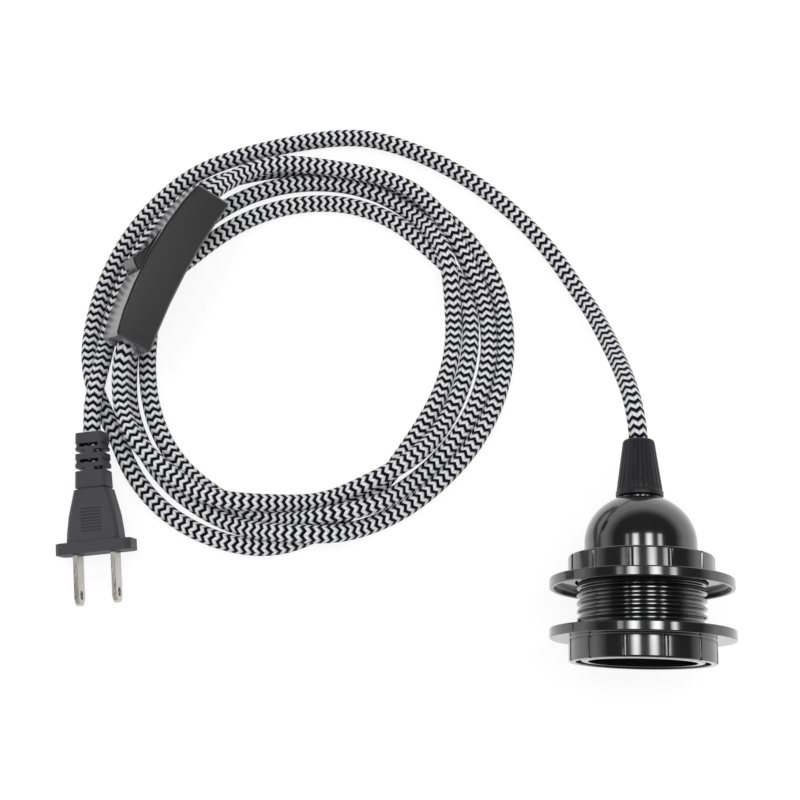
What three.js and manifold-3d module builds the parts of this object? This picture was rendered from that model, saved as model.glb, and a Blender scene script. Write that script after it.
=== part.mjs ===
// Pendant cord set: a lamp holder with two shade rings, a braided cord wound in a coil, an inline
// rocker switch and a moulded two-blade plug. Millimetres, +Z up, everything lies on the plane z = 0.
// The holder lies on its two shade rings with its axis along Y, its mouth towards -Y.
import * as THREE from "three";
import { mergeVertices } from "three/addons/utils/BufferGeometryUtils.js";
import Module from "manifold-3d";

const wasm = await Module();
wasm.setup();

const gap = 0.3; // running clearance between pieces that touch
const cordDiameter = 6;

// Lamp holder, stations measured along its axis from the mouth.
const thread = { crest: 40, depth: 1.05, pitch: 2.5, start: 1.9, end: 31.0 };
const sleeve = { start: 0.5, length: 32.1, wall: 2.55, ledgeAt: 21.6, ledge: 1.6 };
const ring = {
  flangeDiameter: 57, bandHeight: 3.1, web: 1.1, lip: 1.3,
  nutDiameter: 45.2, nutHeight: 7, chamfer: 0.5,
  grooves: 12, grooveWidth: 1.1, grooveDepth: 0.55,
};
const lowerRingTurn = 7; // degrees round the axis of the first grip groove
const upperRingTurn = 12;
const lowerRingTilt = 0.5; // degrees askew on the thread, within its play
const upperRingTilt = 1.2;
const tiltRise = 0.03; // what the tilted rims add below the holder's axis
const shadeSpace = 12.4; // between the two flanges
const dome = {
  diameter: 35, wall: 2.2, straight: 4.3, crown: 15.8,
  topWidth: 17.6, collar: 14.2, collarHeight: 1.1,
};
const nipple = { diameter: 10, bore: 6.8, length: 12.2 };
const locknut = { acrossFlats: 14, height: 2.2 };
const grip = {
  topDiameter: 10, baseDiameter: 15, length: 18.6, skirt: 1.7,
  flutes: 26, fluteDepth: 0.32, shoulder: 1.3,
};
const collet = { wall: 0.9, length: 8.5, slots: 4, slotWidth: 1 };
const insert = { height: 6.2, centreBore: 3, pocket: 1.6 };
const shell = { diameter: 27.4, wave: 0.8, pitch: 3.6, wall: 0.5, length: 15.6, endHole: 13, room: 0.8 };
const contact = { width: 5.5, thickness: 0.5, drop: 2.6, reach: 5.2 };
const terminal = { length: 7, width: 5.4, height: 6, wireHole: 2.6, offset: 9.6 };
const screw = { diameter: 2.6, head: 4.4, headHeight: 1.2, slot: 0.7, slotDepth: 0.6 };
const conductorDiameter = 2.2;

// Inline switch: length along x, width along y, rocker side up; both long sides are arched.
const box = {
  length: 59.5, width: 20, endHeight: 13.2, topArch: 3.2, baseArch: 2.2,
  wall: 1.7, plate: 2, recess: 0.2, corner: 0.9, bevel: 0.7, cordInside: 19.5,
};
const rocker = {
  x: 1.7, swing: 14.8, length: 13.8, width: 13.4, proud: 0.25, dish: 0.9,
  pinHeight: 6, pin: 1.6, pinReach: 8.6, boss: 7, bossDrop: 3.4,
};
const plunger = { diameter: 3.2, reach: 5.3, length: 3, bore: 2.2, foot: 0.8 };
const spring = { wire: 0.35, diameter: 1.6, turns: 3 };
const bridge = { length: 17, width: 4.6, thickness: 0.6, swing: 6 };
const switchPost = { diameter: 5, x: 22.5, y: 5.3, screwLength: 7.4, headAt: 1.35 };
const neutral = { length: 18, width: 2.8, height: 3.2, y: -6.6, bore: 2 };

// Plug: x runs from the cord end to the blade tips.
const plug = {
  reliefLength: 19.2, reliefWidth: 9.2, reliefSpread: 0.08, reliefHeight: 8.6, neckGroove: 0.6,
  bodyLength: 17.4, neckWidth: 11.6, bodyWidth: 18, bodyHeight: 9,
  flangeLength: 3.8, flangeWidth: 25.4, flangeHeight: 10, cordStop: 1.5,
};
const reliefSlots = {
  width: 1.2, middleAt: [3.6, 9.1], sideAt: [5.9, 11.8], middleReach: 3.2, sideFrom: 1.6, notch: 0.5,
};
const fingerGrooves = { count: 8, pitch: 1.05, width: 0.45, depth: 0.35, length: 6.8, start: 6.4 };
const blade = { spacing: 12.7, length: 16.8, width: 6.3, thickness: 1.5, hole: 3, holeFromTip: 3.4, root: 9 };

// Where the loose pieces lie (mm, degrees).
const switchPlace = { x: -159.3, y: 92.5, z: 18.4, turn: 67.55, roll: -60 };
const plugPlace = { x: -181.25, y: 36.35, z: 9.05, turn: -82.83, pitch: 3.86, roll: 5.4 };
const coil = {
  x: -113.15, y: 78.2, radius: 76.2, stretch: 1.063, height: 12.6, edge: 2.4, topEdge: 6,
  holeX: -112.5, holeY: 71.8, holeRadius: 52.2, holeStretch: 1.072,
};

// Cord routes: the stretch from the grip to the coil, and the short ends at the switch and the plug.
const armRoute = [
  [0, 35.75, 28.5], [-0.4, 41, 28.4], [-1.2, 48, 27], [-2.3, 55.5, 23.6], [-3.7, 63, 19],
  [-5.6, 71, 14], [-8, 79, 9.6], [-11.2, 87.5, 6], [-15.4, 96.5, 3.9], [-20.8, 105.8, 3.1],
  [-27.6, 115, 3.05], [-35.8, 123.8, 3.05], [-45.4, 132.2, 3.05], [-56, 139.6, 3.05],
  [-67, 145.8, 3.05], [-77.5, 150.6, 3.05], [-88.2, 154.2, 3.05], [-98.5, 155.7, 3.05],
];
const switchTopRoute = [
  [-147.6, 120.7, 18.4], [-146.1, 124.4, 18.2], [-143.9, 129.2, 16.6],
  [-140.6, 134.2, 13.7], [-136, 138.5, 11], [-129.8, 141.6, 9.5],
];
const switchEndRoute = [
  [-170.95, 64.3, 18.4], [-172.4, 60.6, 18.2], [-174, 55.4, 16.4],
  [-174.9, 49.8, 13.4], [-174.8, 44.2, 10.9], [-173.6, 39, 9.7],
];
const plugRoute = [[-181.3, 36.75, 9.05], [-181.8, 40.8, 9.2], [-182.2, 45.5, 9.2]];

const phenolic = new THREE.MeshStandardMaterial({ color: 0x17171a, roughness: 0.18 });
const darkNylon = new THREE.MeshStandardMaterial({ color: 0x2b2b2d, roughness: 0.6 });
const switchPlastic = new THREE.MeshStandardMaterial({ color: 0x454546, roughness: 0.5 });
const glossyPlastic = new THREE.MeshStandardMaterial({ color: 0x1b1b1d, roughness: 0.15 });
const plugVinyl = new THREE.MeshStandardMaterial({ color: 0x3a3a3c, roughness: 0.55 });
const porcelain = new THREE.MeshStandardMaterial({ color: 0xe9e6df, roughness: 0.3 });
const nickel = new THREE.MeshStandardMaterial({ color: 0xc9c8c2, roughness: 0.25, metalness: 1 });
const brass = new THREE.MeshStandardMaterial({ color: 0xb8934c, roughness: 0.35, metalness: 1 });
const steel = new THREE.MeshStandardMaterial({ color: 0xa8aaad, roughness: 0.35, metalness: 1 });
const braid = new THREE.MeshStandardMaterial({ color: 0x8a8a8c, roughness: 0.9 });
const blackWire = new THREE.MeshStandardMaterial({ color: 0x1c1c1c, roughness: 0.5 });
const whiteWire = new THREE.MeshStandardMaterial({ color: 0xe8e8e6, roughness: 0.5 });

const rad = THREE.MathUtils.degToRad;
const lerp = THREE.MathUtils.lerp;

// A closed geometry as a manifold solid, turned outwards if its profile ran the other way.
function solid(geometry) {
  const bare = new THREE.BufferGeometry();
  bare.setAttribute("position", geometry.getAttribute("position"));
  if (geometry.index) bare.setIndex(geometry.index);
  const merged = mergeVertices(bare, 1e-4);
  const faces = new Uint32Array(merged.index.array);
  const vertices = new Float32Array(merged.attributes.position.array);
  const build = () =>
    new wasm.Manifold(new wasm.Mesh({ numProp: 3, vertProperties: vertices, triVerts: faces }));
  const made = build();
  if (made.volume() > 0) return made;
  for (let i = 0; i < faces.length; i += 3) [faces[i], faces[i + 1]] = [faces[i + 1], faces[i]];
  return build();
}

// A solid back to a three.js mesh with its name and material.
function mesh(name, body, material) {
  const data = body.getMesh();
  const geometry = new THREE.BufferGeometry();
  geometry.setAttribute("position", new THREE.BufferAttribute(new Float32Array(data.vertProperties), 3));
  geometry.setIndex(new THREE.BufferAttribute(new Uint32Array(data.triVerts), 1));
  const made = new THREE.Mesh(geometry, material);
  made.name = name;
  return made;
}

// Revolves a list of [radius, height] points round the z axis, closed or starting and ending on it.
function revolve(points, sides = 48) {
  const onAxis = points[0][0] === 0;
  const profile = (onAxis ? points : [...points, points[0]]).map(([r, h]) => new THREE.Vector2(r, h));
  return solid(new THREE.LatheGeometry(profile, sides).rotateX(Math.PI / 2));
}

function tubeRing(inner, outer, low, high, sides = 32) {
  return revolve([[inner, low], [outer, low], [outer, high], [inner, high]], sides);
}

function rod(radius, low, high, sides = 24) {
  const made = new THREE.CylinderGeometry(radius, radius, high - low, sides).rotateX(Math.PI / 2);
  return solid(made.translate(0, 0, (low + high) / 2));
}

function block(x0, x1, y0, y1, z0, z1) {
  const made = new THREE.BoxGeometry(x1 - x0, y1 - y0, z1 - z0);
  return solid(made.translate((x0 + x1) / 2, (y0 + y1) / 2, (z0 + z1) / 2));
}

// A rod along x or y through a point.
function rodX(radius, x0, x1, y, z, sides = 20) {
  return rod(radius, x0, x1, sides).rotate([0, 90, 0]).translate([0, y, z]);
}
function rodY(radius, y0, y1, x, z, sides = 20) {
  return rod(radius, y0, y1, sides).rotate([-90, 0, 0]).translate([x, 0, z]);
}

// Extrudes an x-z outline over a width in y, centred on y = 0, with an optional bevel.
function plate(outline, width, bevel = 0) {
  const shape = new THREE.Shape(outline.map(([x, z]) => new THREE.Vector2(x, z)));
  const depth = width - 2 * bevel;
  const made = new THREE.ExtrudeGeometry(shape, {
    depth, bevelEnabled: bevel > 0, bevelSize: bevel, bevelThickness: bevel,
    bevelOffset: -bevel, bevelSegments: 1,
  });
  return solid(made.translate(0, 0, -depth / 2).rotateX(Math.PI / 2));
}

// Joins loops of equally many points into a closed solid with flat caps.
function loft(loops) {
  const n = loops[0].length;
  const points = loops.flat();
  const faces = [];
  for (let k = 0; k + 1 < loops.length; k++)
    for (let i = 0; i < n; i++) {
      const a = k * n + i, b = k * n + ((i + 1) % n);
      faces.push(a, b, b + n, a, b + n, a + n);
    }
  for (const [start, turn] of [[0, -1], [(loops.length - 1) * n, 1]]) {
    const middle = [0, 1, 2].map((c) => points.slice(start, start + n).reduce((s, p) => s + p[c], 0) / n);
    points.push(middle);
    for (let i = 0; i < n; i++) {
      const a = start + i, b = start + ((i + 1) % n);
      faces.push(points.length - 1, turn > 0 ? a : b, turn > 0 ? b : a);
    }
  }
  const geometry = new THREE.BufferGeometry();
  geometry.setAttribute("position", new THREE.Float32BufferAttribute(points.flat(), 3));
  geometry.setIndex(faces);
  return solid(geometry);
}

// A round tube along a smooth curve through the route's points.
function cordTube(route, radius, steps, sides = 12) {
  const path = new THREE.CatmullRomCurve3(route.map((p) => new THREE.Vector3(...p)), false, "centripetal");
  const section = new THREE.Shape();
  for (let i = 0; i < sides; i++) {
    const a = (2 * Math.PI * i) / sides;
    section[i ? "lineTo" : "moveTo"](radius * Math.cos(a), radius * Math.sin(a));
  }
  return solid(new THREE.ExtrudeGeometry(section, { steps, extrudePath: path, bevelEnabled: false }));
}

// Holder stations that follow from the sizes above.
const crestRadius = thread.crest / 2;
const rootRadius = crestRadius - thread.depth;
const sleeveTop = sleeve.start + sleeve.length;
const sleeveBore = rootRadius - sleeve.wall;
const ringBore = crestRadius + 1.5 * gap;
const ringHeight = ring.bandHeight + ring.nutHeight;
const lowerFlangeFace = ringHeight + (ring.nutDiameter / 2) * Math.sin(rad(lowerRingTilt));
const upperFlangeFace = lowerFlangeFace + shadeSpace;
const insertFoot = sleeve.ledgeAt + sleeve.ledge + gap;
const insertTop = insertFoot + insert.height;
const insertRadius = sleeveBore - gap;
const domeFoot = sleeveTop + gap;
const domeCentre = domeFoot + dome.straight;
const crownAt = (r) => domeCentre + dome.crown * Math.sqrt(1 - (r / (dome.diameter / 2)) ** 2);
const domeTop = crownAt(dome.topWidth / 2) + dome.collarHeight;
const domeInner = dome.diameter / 2 - dome.wall;
const ceilingRadius = locknut.acrossFlats / 2 / Math.cos(Math.PI / 6) + 3 * gap;
const domeCeiling = domeCentre + (dome.crown - dome.wall) * Math.sqrt(1 - (ceilingRadius / domeInner) ** 2);
const gripFoot = domeTop + gap;
const holderLength = gripFoot + grip.length;
const nippleFoot = domeCeiling - gap - locknut.height - 0.5;
const nippleTop = nippleFoot + nipple.length;
const nippleHole = nipple.diameter / 2 + gap;

// The helical ridge of the sleeve's thread, its height running out over the last part of a turn.
function threadRidge() {
  const stepsPerTurn = 24;
  const turns = (thread.end - thread.start) / thread.pitch;
  const steps = Math.round(turns * stepsPerTurn);
  const half = thread.pitch / 2;
  const profile = [[-0.4, -1.05], [1, 0], [-0.4, 1.05]];
  const runOut = stepsPerTurn / 3;
  const loops = [];
  for (let i = 0; i <= steps; i++) {
    const angle = (2 * Math.PI * i) / stepsPerTurn;
    const lift = Math.min(1, (i + 0.5) / runOut, (steps - i + 0.5) / runOut);
    const height = thread.start + (thread.pitch * i) / stepsPerTurn;
    loops.push(profile.map(([up, along]) => {
      const r = rootRadius + (up > 0 ? up * lift : up) * thread.depth;
      return [r * Math.cos(angle), r * Math.sin(angle), height + along * half];
    }));
  }
  return loft(loops);
}

function threadedSleeve() {
  const ledgeIn = shell.diameter / 2 + shell.room;
  const ledgeTop = sleeve.ledgeAt + sleeve.ledge;
  const lead = 0.5;
  const body = revolve([
    [sleeveBore, sleeve.start], [rootRadius - lead, sleeve.start], [rootRadius, sleeve.start + lead],
    [rootRadius, sleeveTop], [sleeveBore, sleeveTop], [sleeveBore, ledgeTop], [ledgeIn, ledgeTop],
    [ledgeIn, sleeve.ledgeAt], [sleeveBore, sleeve.ledgeAt],
  ], 24);
  return body.add(threadRidge());
}

// A shade ring with its nut upwards: a flange whose rim is turned down, a thin web and a grooved nut.
function shadeRing() {
  const rim = ring.flangeDiameter / 2;
  const nut = ring.nutDiameter / 2;
  const webFoot = ring.bandHeight - ring.web;
  let body = revolve([
    [ringBore, webFoot], [rim - ring.lip - 0.15, webFoot], [rim - ring.lip, 0], [rim, 0],
    [rim, ring.bandHeight], [nut, ring.bandHeight], [nut, ringHeight - ring.chamfer],
    [nut - ring.chamfer, ringHeight], [ringBore, ringHeight],
  ]);
  const half = ring.grooveWidth / 2;
  const floor = ring.bandHeight + gap;
  const spread = half * (1 + 1 / ring.grooveDepth);
  const groove = loft([floor, ringHeight + 1].map((z) => [
    [nut + 1, -spread, z], [nut + 1, spread, z], [nut - ring.grooveDepth, 0, z],
  ]));
  for (let i = 0; i < ring.grooves; i++) body = body.subtract(groove.rotate([0, 0, (360 * i) / ring.grooves]));
  return body;
}

function domeCap() {
  const outer = [[dome.diameter / 2, domeFoot]];
  for (let a = 0; a < 90; a += 12) {
    const r = (dome.diameter / 2) * Math.cos(rad(a));
    if (r > dome.topWidth / 2) outer.push([r, domeCentre + dome.crown * Math.sin(rad(a))]);
  }
  outer.push([dome.topWidth / 2, crownAt(dome.topWidth / 2)]);
  outer.push([dome.collar / 2, domeTop - 0.3], [dome.collar / 2, domeTop]);
  const inner = [[nippleHole, domeTop], [nippleHole, domeCeiling], [ceilingRadius, domeCeiling]];
  for (let a = 48; a >= 0; a -= 16) {
    const r = domeInner * Math.cos(rad(a));
    if (r > ceilingRadius + 0.5) inner.push([r, domeCentre + (dome.crown - dome.wall) * Math.sin(rad(a))]);
  }
  const skirtFoot = insertTop + gap;
  const skirtIn = insertRadius - dome.wall + 0.4;
  inner.push([domeInner, domeFoot + 1], [skirtIn, domeFoot], [skirtIn, skirtFoot]);
  inner.push([insertRadius, skirtFoot], [insertRadius, domeFoot]);
  return revolve([...outer, ...inner], 32);
}

function hexNut() {
  const r = locknut.acrossFlats / 2 / Math.cos(Math.PI / 6);
  const top = domeCeiling - gap;
  return rod(r, top - locknut.height, top, 6).subtract(rod(nippleHole, top - locknut.height - 1, top + 1));
}

// The tapered cord grip: fluted cone on a plain skirt, with a rounded top and a stepped bore.
function cordGripNut() {
  const base = grip.baseDiameter / 2;
  const top = grip.topDiameter / 2;
  const points = 2 * grip.flutes;
  const rows = [
    [0, base, 0], [grip.skirt, base, 0], [grip.skirt + 0.2, base - 0.25, 0], [grip.skirt + 0.5, base - 0.3, 1],
    [grip.length - grip.shoulder, top + 0.1, 1], [grip.length - 0.35, top - 0.35, 0.5],
    [grip.length, top - 0.95, 0],
  ];
  const outside = loft(rows.map(([z, r, cut]) => {
    const loop = [];
    for (let i = 0; i < points; i++) {
      const a = (2 * Math.PI * i) / points;
      const reach = r - (i % 2 ? cut * grip.fluteDepth : 0);
      loop.push([reach * Math.cos(a), reach * Math.sin(a), gripFoot + z]);
    }
    return loop;
  }));
  const nippleRoom = nippleTop + gap;
  const mouth = cordDiameter / 2 + gap;
  const colletEnd = nippleRoom + collet.length;
  const bore = revolve([
    [0, gripFoot - 1], [nippleHole, gripFoot - 1], [nippleHole, nippleRoom],
    [mouth + collet.wall + gap, colletEnd - 1], [mouth, colletEnd + 1],
    [mouth, holderLength + 1], [0, holderLength + 1],
  ], 24);
  return outside.subtract(bore);
}

function gripCollet() {
  const inner = cordDiameter / 2 + gap;
  const foot = nippleTop + gap;
  let body = tubeRing(inner, inner + collet.wall, foot, foot + collet.length - 1.5, 24);
  for (let i = 0; i < collet.slots; i++) {
    const half = collet.slotWidth / 2;
    const slot = block(0, grip.baseDiameter, -half, half, foot + 2, foot + collet.length + 1);
    body = body.subtract(slot.rotate([0, 0, 45 + (360 * i) / collet.slots]));
  }
  return body;
}

// The rolled screw shell: outside and inside follow the same helical wave.
function screwShell() {
  const sides = 18;
  const rowsPerPitch = 3;
  const foot = insertFoot - gap - shell.wall - shell.length;
  const rows = Math.round((shell.length / shell.pitch) * rowsPerPitch);
  const middle = shell.diameter / 2 - shell.wave / 2;
  const loop = (row, inset) => {
    const z = foot + (shell.length * row) / rows;
    const fade = Math.min(1, row, rows - row);
    return Array.from({ length: sides }, (_, i) => {
      const a = (2 * Math.PI * i) / sides;
      const wave = Math.cos((2 * Math.PI * (z - foot)) / shell.pitch - a);
      const r = middle - inset + (shell.wave / 2) * fade * wave;
      return [r * Math.cos(a), r * Math.sin(a), z];
    });
  };
  const outside = loft(Array.from({ length: rows + 1 }, (_, row) => loop(row, 0)));
  const below = loop(0, shell.wall).map(([x, y, z]) => [x, y, z - 1]);
  const inside = Array.from({ length: rows }, (_, row) => loop(row, shell.wall));
  const above = loop(rows, shell.wall).map(([x, y, z]) => [x, y, z + 1]);
  const top = foot + shell.length;
  const end = tubeRing(shell.endHole / 2, middle - shell.wall / 2, top - shell.wall, top, sides);
  return outside.subtract(loft([below, ...inside, loop(rows, shell.wall), above])).add(end);
}

function socketInsert() {
  const pocketFoot = insertTop - insert.pocket;
  const bore = rod(insert.centreBore / 2 + gap, insertFoot - 1, insertTop + 1, 16);
  let body = rod(insertRadius, insertFoot, insertTop, 36).subtract(bore);
  const half = { x: terminal.length / 2 + gap, y: terminal.width / 2 + gap };
  for (const side of [-1, 1]) {
    const x = side * terminal.offset;
    body = body.subtract(block(x - half.x, x + half.x, -half.y, half.y, pocketFoot, insertTop + 1));
  }
  const room = { x: contact.reach + gap, y: contact.width / 2 + gap, z: insertFoot + contact.thickness + gap };
  return body.subtract(block(-room.x, room.x, -room.y, room.y, insertFoot - 1, room.z));
}

// Spring tongue under the insert, bent down towards the lamp, with the rivet that carries it.
function centreContact() {
  const z = insertFoot;
  const tip = insertFoot - contact.drop;
  const t = contact.thickness;
  const reach = contact.reach;
  const tongue = plate([
    [-reach, z], [-reach, z + t], [reach, z + t], [reach, tip + 0.9], [0.4, tip],
    [-0.6, tip + 0.3], [-0.6, tip + 0.8], [reach - t, tip + 1.4], [reach - t, z],
  ], contact.width);
  return tongue.add(rod(insert.centreBore / 2, z + t / 2, insertTop - t, 16));
}

function terminalBlock(side) {
  const x = side * terminal.offset;
  const half = terminal.length / 2;
  const foot = insertTop - insert.pocket + gap;
  const middle = foot + terminal.height / 2 + 0.6;
  let body = block(x - half, x + half, -terminal.width / 2, terminal.width / 2, foot, foot + terminal.height);
  body = body.subtract(rodX(terminal.wireHole / 2, x - half - 1, x + half + 1, 0, middle, 12));
  return body.subtract(rod(screw.diameter / 2 + gap, middle, foot + terminal.height + 1, 12).translate([x, 0, 0]));
}

// A cheese-head screw with a slot, its shank pointing down from height z.
function slottedScrew(z, length) {
  const shank = rod(screw.diameter / 2, z - length, z + 0.1, 12);
  const head = rod(screw.head / 2, z, z + screw.headHeight, 16);
  const top = z + screw.headHeight;
  const half = screw.slot / 2;
  return shank.add(head).subtract(block(-screw.head, screw.head, -half, half, top - screw.slotDepth, top + 1));
}

function holderConductor(side) {
  const foot = insertTop - insert.pocket + gap;
  const wireZ = foot + terminal.height / 2 + 0.6;
  const start = nippleFoot - 0.8;
  const inner = side * (terminal.offset - terminal.length / 2 - 1.1);
  const y = side * 1.5;
  return cordTube([
    [side * 1.4, 0, start], [side * 1.6, 0.6 * y, start - 2.5], [side * 2.4, 1.6 * y, start - 5],
    [inner * 0.75, 0.7 * y, wireZ + 1.5], [inner, 0, wireZ],
  ], conductorDiameter / 2, 8, 8);
}

function lampHolder() {
  const holder = new THREE.Group();
  holder.position.set(0, -holderLength / 2, ring.flangeDiameter / 2 + tiltRise);
  holder.rotation.x = -Math.PI / 2;
  const lower = shadeRing().rotate([180, 0, 90 + lowerRingTurn]);
  const upper = shadeRing().rotate([0, 0, 90 + upperRingTurn]);
  const terminalTop = insertTop - insert.pocket + gap + terminal.height;
  holder.add(
    mesh("threaded_sleeve", threadedSleeve(), phenolic),
    mesh("lower_shade_ring", lower.rotate([-lowerRingTilt, 0, 0]).translate([0, 0, lowerFlangeFace]), phenolic),
    mesh("upper_shade_ring", upper.rotate([-upperRingTilt, 0, 0]).translate([0, 0, upperFlangeFace]), phenolic),
    mesh("dome_cap", domeCap(), phenolic),
    mesh("nipple_locknut", hexNut(), steel),
    mesh("threaded_nipple", tubeRing(nipple.bore / 2, nipple.diameter / 2, nippleFoot, nippleTop, 24), steel),
    mesh("cord_grip_nut", cordGripNut(), darkNylon),
    mesh("grip_collet", gripCollet(), darkNylon),
    mesh("socket_insert", socketInsert(), porcelain),
    mesh("screw_shell", screwShell(), nickel),
    mesh("centre_contact", centreContact(), brass),
    mesh("holder_cord_end", rod(cordDiameter / 2, nippleFoot - 0.5, holderLength, 16), braid),
  );
  [[-1, "shell", whiteWire], [1, "centre", blackWire]].forEach(([side, name, wire]) => {
    const head = slottedScrew(terminalTop + gap, 1.6).translate([side * terminal.offset, 0, 0]);
    holder.add(
      mesh(name + "_terminal", terminalBlock(side), brass),
      mesh(name + "_terminal_screw", head, steel),
      mesh(name + "_conductor", holderConductor(side), wire),
    );
  });
  return holder;
}

// Switch stations: arched base and top lines, and the top of the base plate that is let into the cover.
const archAt = (x) => 1 - (2 * x / box.length) ** 2;
const baseLine = (x) => -box.endHeight / 2 + box.baseArch * archAt(x);
const topLine = (x) => box.endHeight / 2 + box.topArch * archAt(x);
const plateFoot = (x) => baseLine(x) + box.recess;
const plateTop = (x) => plateFoot(x) + box.plate;
const entryZ = 0; // cord axis at the ends
const pinZ = rocker.pinHeight;
const headSeat = baseLine(switchPost.x) + switchPost.headAt; // underside of the housing screws' heads

// Outline between two arched lines out to the given ends, its corners cut back a little.
function archedOutline(low, high, end, corner = 0) {
  const stations = [-1, -0.72, -0.4, 0, 0.4, 0.72, 1].map((s) => s * end);
  const line = (curve, cut) => {
    const points = stations.map((x) => [x, curve(x)]);
    if (!corner) return points;
    const [x0, z0] = points[0];
    const [x1, z1] = points[points.length - 1];
    const turnIn = 0.12 * cut;
    return [
      [x0, z0 + cut], [x0 + corner, z0 + turnIn], ...points.slice(1, -1),
      [x1 - corner, z1 + turnIn], [x1, z1 + cut],
    ];
  };
  return [...line(low, corner), ...line(high, -corner).reverse()];
}

// A block from one y to another, whichever is the greater.
function blockAcross(x0, x1, y0, y1, z0, z1) {
  return block(x0, x1, Math.min(y0, y1), Math.max(y0, y1), z0, z1);
}

// The arched shell of the switch, open below, with the rocker's window, lugs for its pin, posts for
// the housing screws and a round entry for the cord at either end.
function switchCover() {
  const wall = box.wall;
  const end = box.length / 2;
  const pinRoom = rocker.pinReach + gap;
  let body = plate(archedOutline(baseLine, topLine, end, box.corner), box.width, box.bevel);
  const cavity = archedOutline((x) => baseLine(x) - 1, (x) => topLine(x) - wall, end - wall);
  body = body.subtract(plate(cavity, box.width - 2 * wall));
  const ceiling = topLine(4) - wall / 2;
  const post = { foot: plateTop(switchPost.x) + gap, top: topLine(switchPost.x) - wall / 2 };
  const lug = { half: 2.8, thickness: 1.5, foot: pinZ - 2.6 };
  for (const side of [-1, 1]) {
    const y = side * (rocker.width / 2 + 2 * gap);
    const [x0, x1] = [rocker.x - lug.half, rocker.x + lug.half];
    body = body.add(blockAcross(x0, x1, y, y + side * lug.thickness, lug.foot, ceiling));
    const screwPost = rod(switchPost.diameter / 2, post.foot, post.top, 12);
    body = body.add(screwPost.translate([side * switchPost.x, side * switchPost.y, 0]));
  }
  body = body.subtract(rodY(rocker.pin / 2 + gap, -pinRoom, pinRoom, rocker.x, pinZ, 16));
  const window = rocker.width / 2 + gap;
  body = body.subtract(rodY(rockerReach() + gap, -window, window, rocker.x, pinZ, 64));
  const pilotTop = headSeat + switchPost.screwLength + gap;
  const entry = cordDiameter / 2 + gap;
  for (const side of [-1, 1]) {
    const pilot = rod(screw.diameter / 2 + gap, post.foot - 1, pilotTop, 12);
    body = body.subtract(pilot.translate([side * switchPost.x, side * switchPost.y, 0]));
    const [inner, outer] = [side * box.cordInside, side * (end + 1)];
    body = body.subtract(rodX(entry, Math.min(inner, outer), Math.max(inner, outer), 0, entryZ, 16));
  }
  return body;
}

// The base plate, let into the open side of the cover, with countersunk holes for the housing screws.
function switchBase() {
  const inset = box.wall + gap;
  let body = plate(archedOutline(plateFoot, plateTop, box.length / 2 - inset), box.width - 2 * inset);
  const low = plateFoot(0) - box.baseArch - 1;
  const shank = rod(screw.diameter / 2 + gap, low, plateTop(0) + 1, 12);
  const pocket = rod(screw.head / 2 + gap, low, headSeat + gap, 16);
  for (const side of [-1, 1])
    body = body.subtract(shank.add(pocket).translate([side * switchPost.x, side * switchPost.y, 0]));
  return body;
}

// Distance from the pin to the rocker's end faces, which are struck round the pin.
function rockerReach() {
  const half = rocker.length / 2;
  const flushHeight = topLine(rocker.x + half) + rocker.proud - pinZ;
  return Math.hypot(half, flushHeight + half * Math.sin(rad(rocker.swing)));
}

const plungerRoof = rocker.pin / 2 + gap + 0.7; // below the pin, over the plunger's spring

// Rocker in its level position, pin at the origin: dished top, end faces round the pin, boss below.
function rockerBody() {
  const reach = rockerReach();
  const topAngle = Math.acos(rocker.length / 2 / reach);
  const angles = [1, 0.66, 0.33].map((s) => lerp(rad(6), topAngle, s));
  const arc = angles.map((a) => [reach * Math.cos(a), reach * Math.sin(a)]);
  const high = arc[0][1];
  const boss = rocker.boss / 2;
  const right = [
    [0.45 * rocker.length / 2, high - rocker.dish * 0.72], ...arc, [reach * 0.99, 0.4],
    [boss + 2.2, 0.9], [boss, -1.2], [boss, -rocker.bossDrop],
  ];
  const left = right.map(([x, z]) => [-x, z]).reverse();
  let body = plate([[0, high - rocker.dish], ...right, ...left], rocker.width, 0.35);
  body = body.subtract(rodY(rocker.pin / 2 + gap, -box.width, box.width, 0, 0, 16));
  return body.subtract(rod(plunger.diameter / 2 + gap, -10, -plungerRoof, 16));
}

// Hollow brass plunger that rides in the rocker's boss; its tip is rounded.
function plungerBody() {
  const r = plunger.diameter / 2;
  const low = -plunger.reach;
  const high = low + plunger.length;
  const floor = low + plunger.foot;
  const tip = [[0, low], [r * 0.6, low + 0.3], [r, low + 1]];
  return revolve([...tip, [r, high], [plunger.bore / 2, high], [plunger.bore / 2, floor], [0, floor]], 16);
}

// A round wire wound in a helix between the plunger's floor and the rocker.
function springCoil() {
  const wire = spring.wire / 2;
  const low = -plunger.reach + plunger.foot + gap + wire;
  const high = -plungerRoof - gap - wire;
  const perTurn = 10;
  const wireSides = 5;
  const steps = spring.turns * perTurn;
  const middle = spring.diameter / 2 - wire;
  const loops = Array.from({ length: steps + 1 }, (_, i) => {
    const a = (2 * Math.PI * i) / perTurn;
    const z = lerp(low, high, i / steps);
    return Array.from({ length: wireSides }, (_, k) => {
      const b = (2 * Math.PI * k) / wireSides;
      const out = middle + wire * Math.cos(b);
      return [out * Math.cos(a), out * Math.sin(a), z + wire * Math.sin(b)];
    });
  });
  return loft(loops);
}

const bridgeZ = pinZ - plunger.reach - gap - bridge.thickness; // fulcrum line of the see-saw contact

function contactBridge() {
  const half = bridge.length / 2;
  const t = bridge.thickness;
  return plate([[-half, 0], [-0.6, 0], [0, 0.25], [0.6, 0], [half, 0], [half, t], [-half, t]], bridge.width);
}

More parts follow.
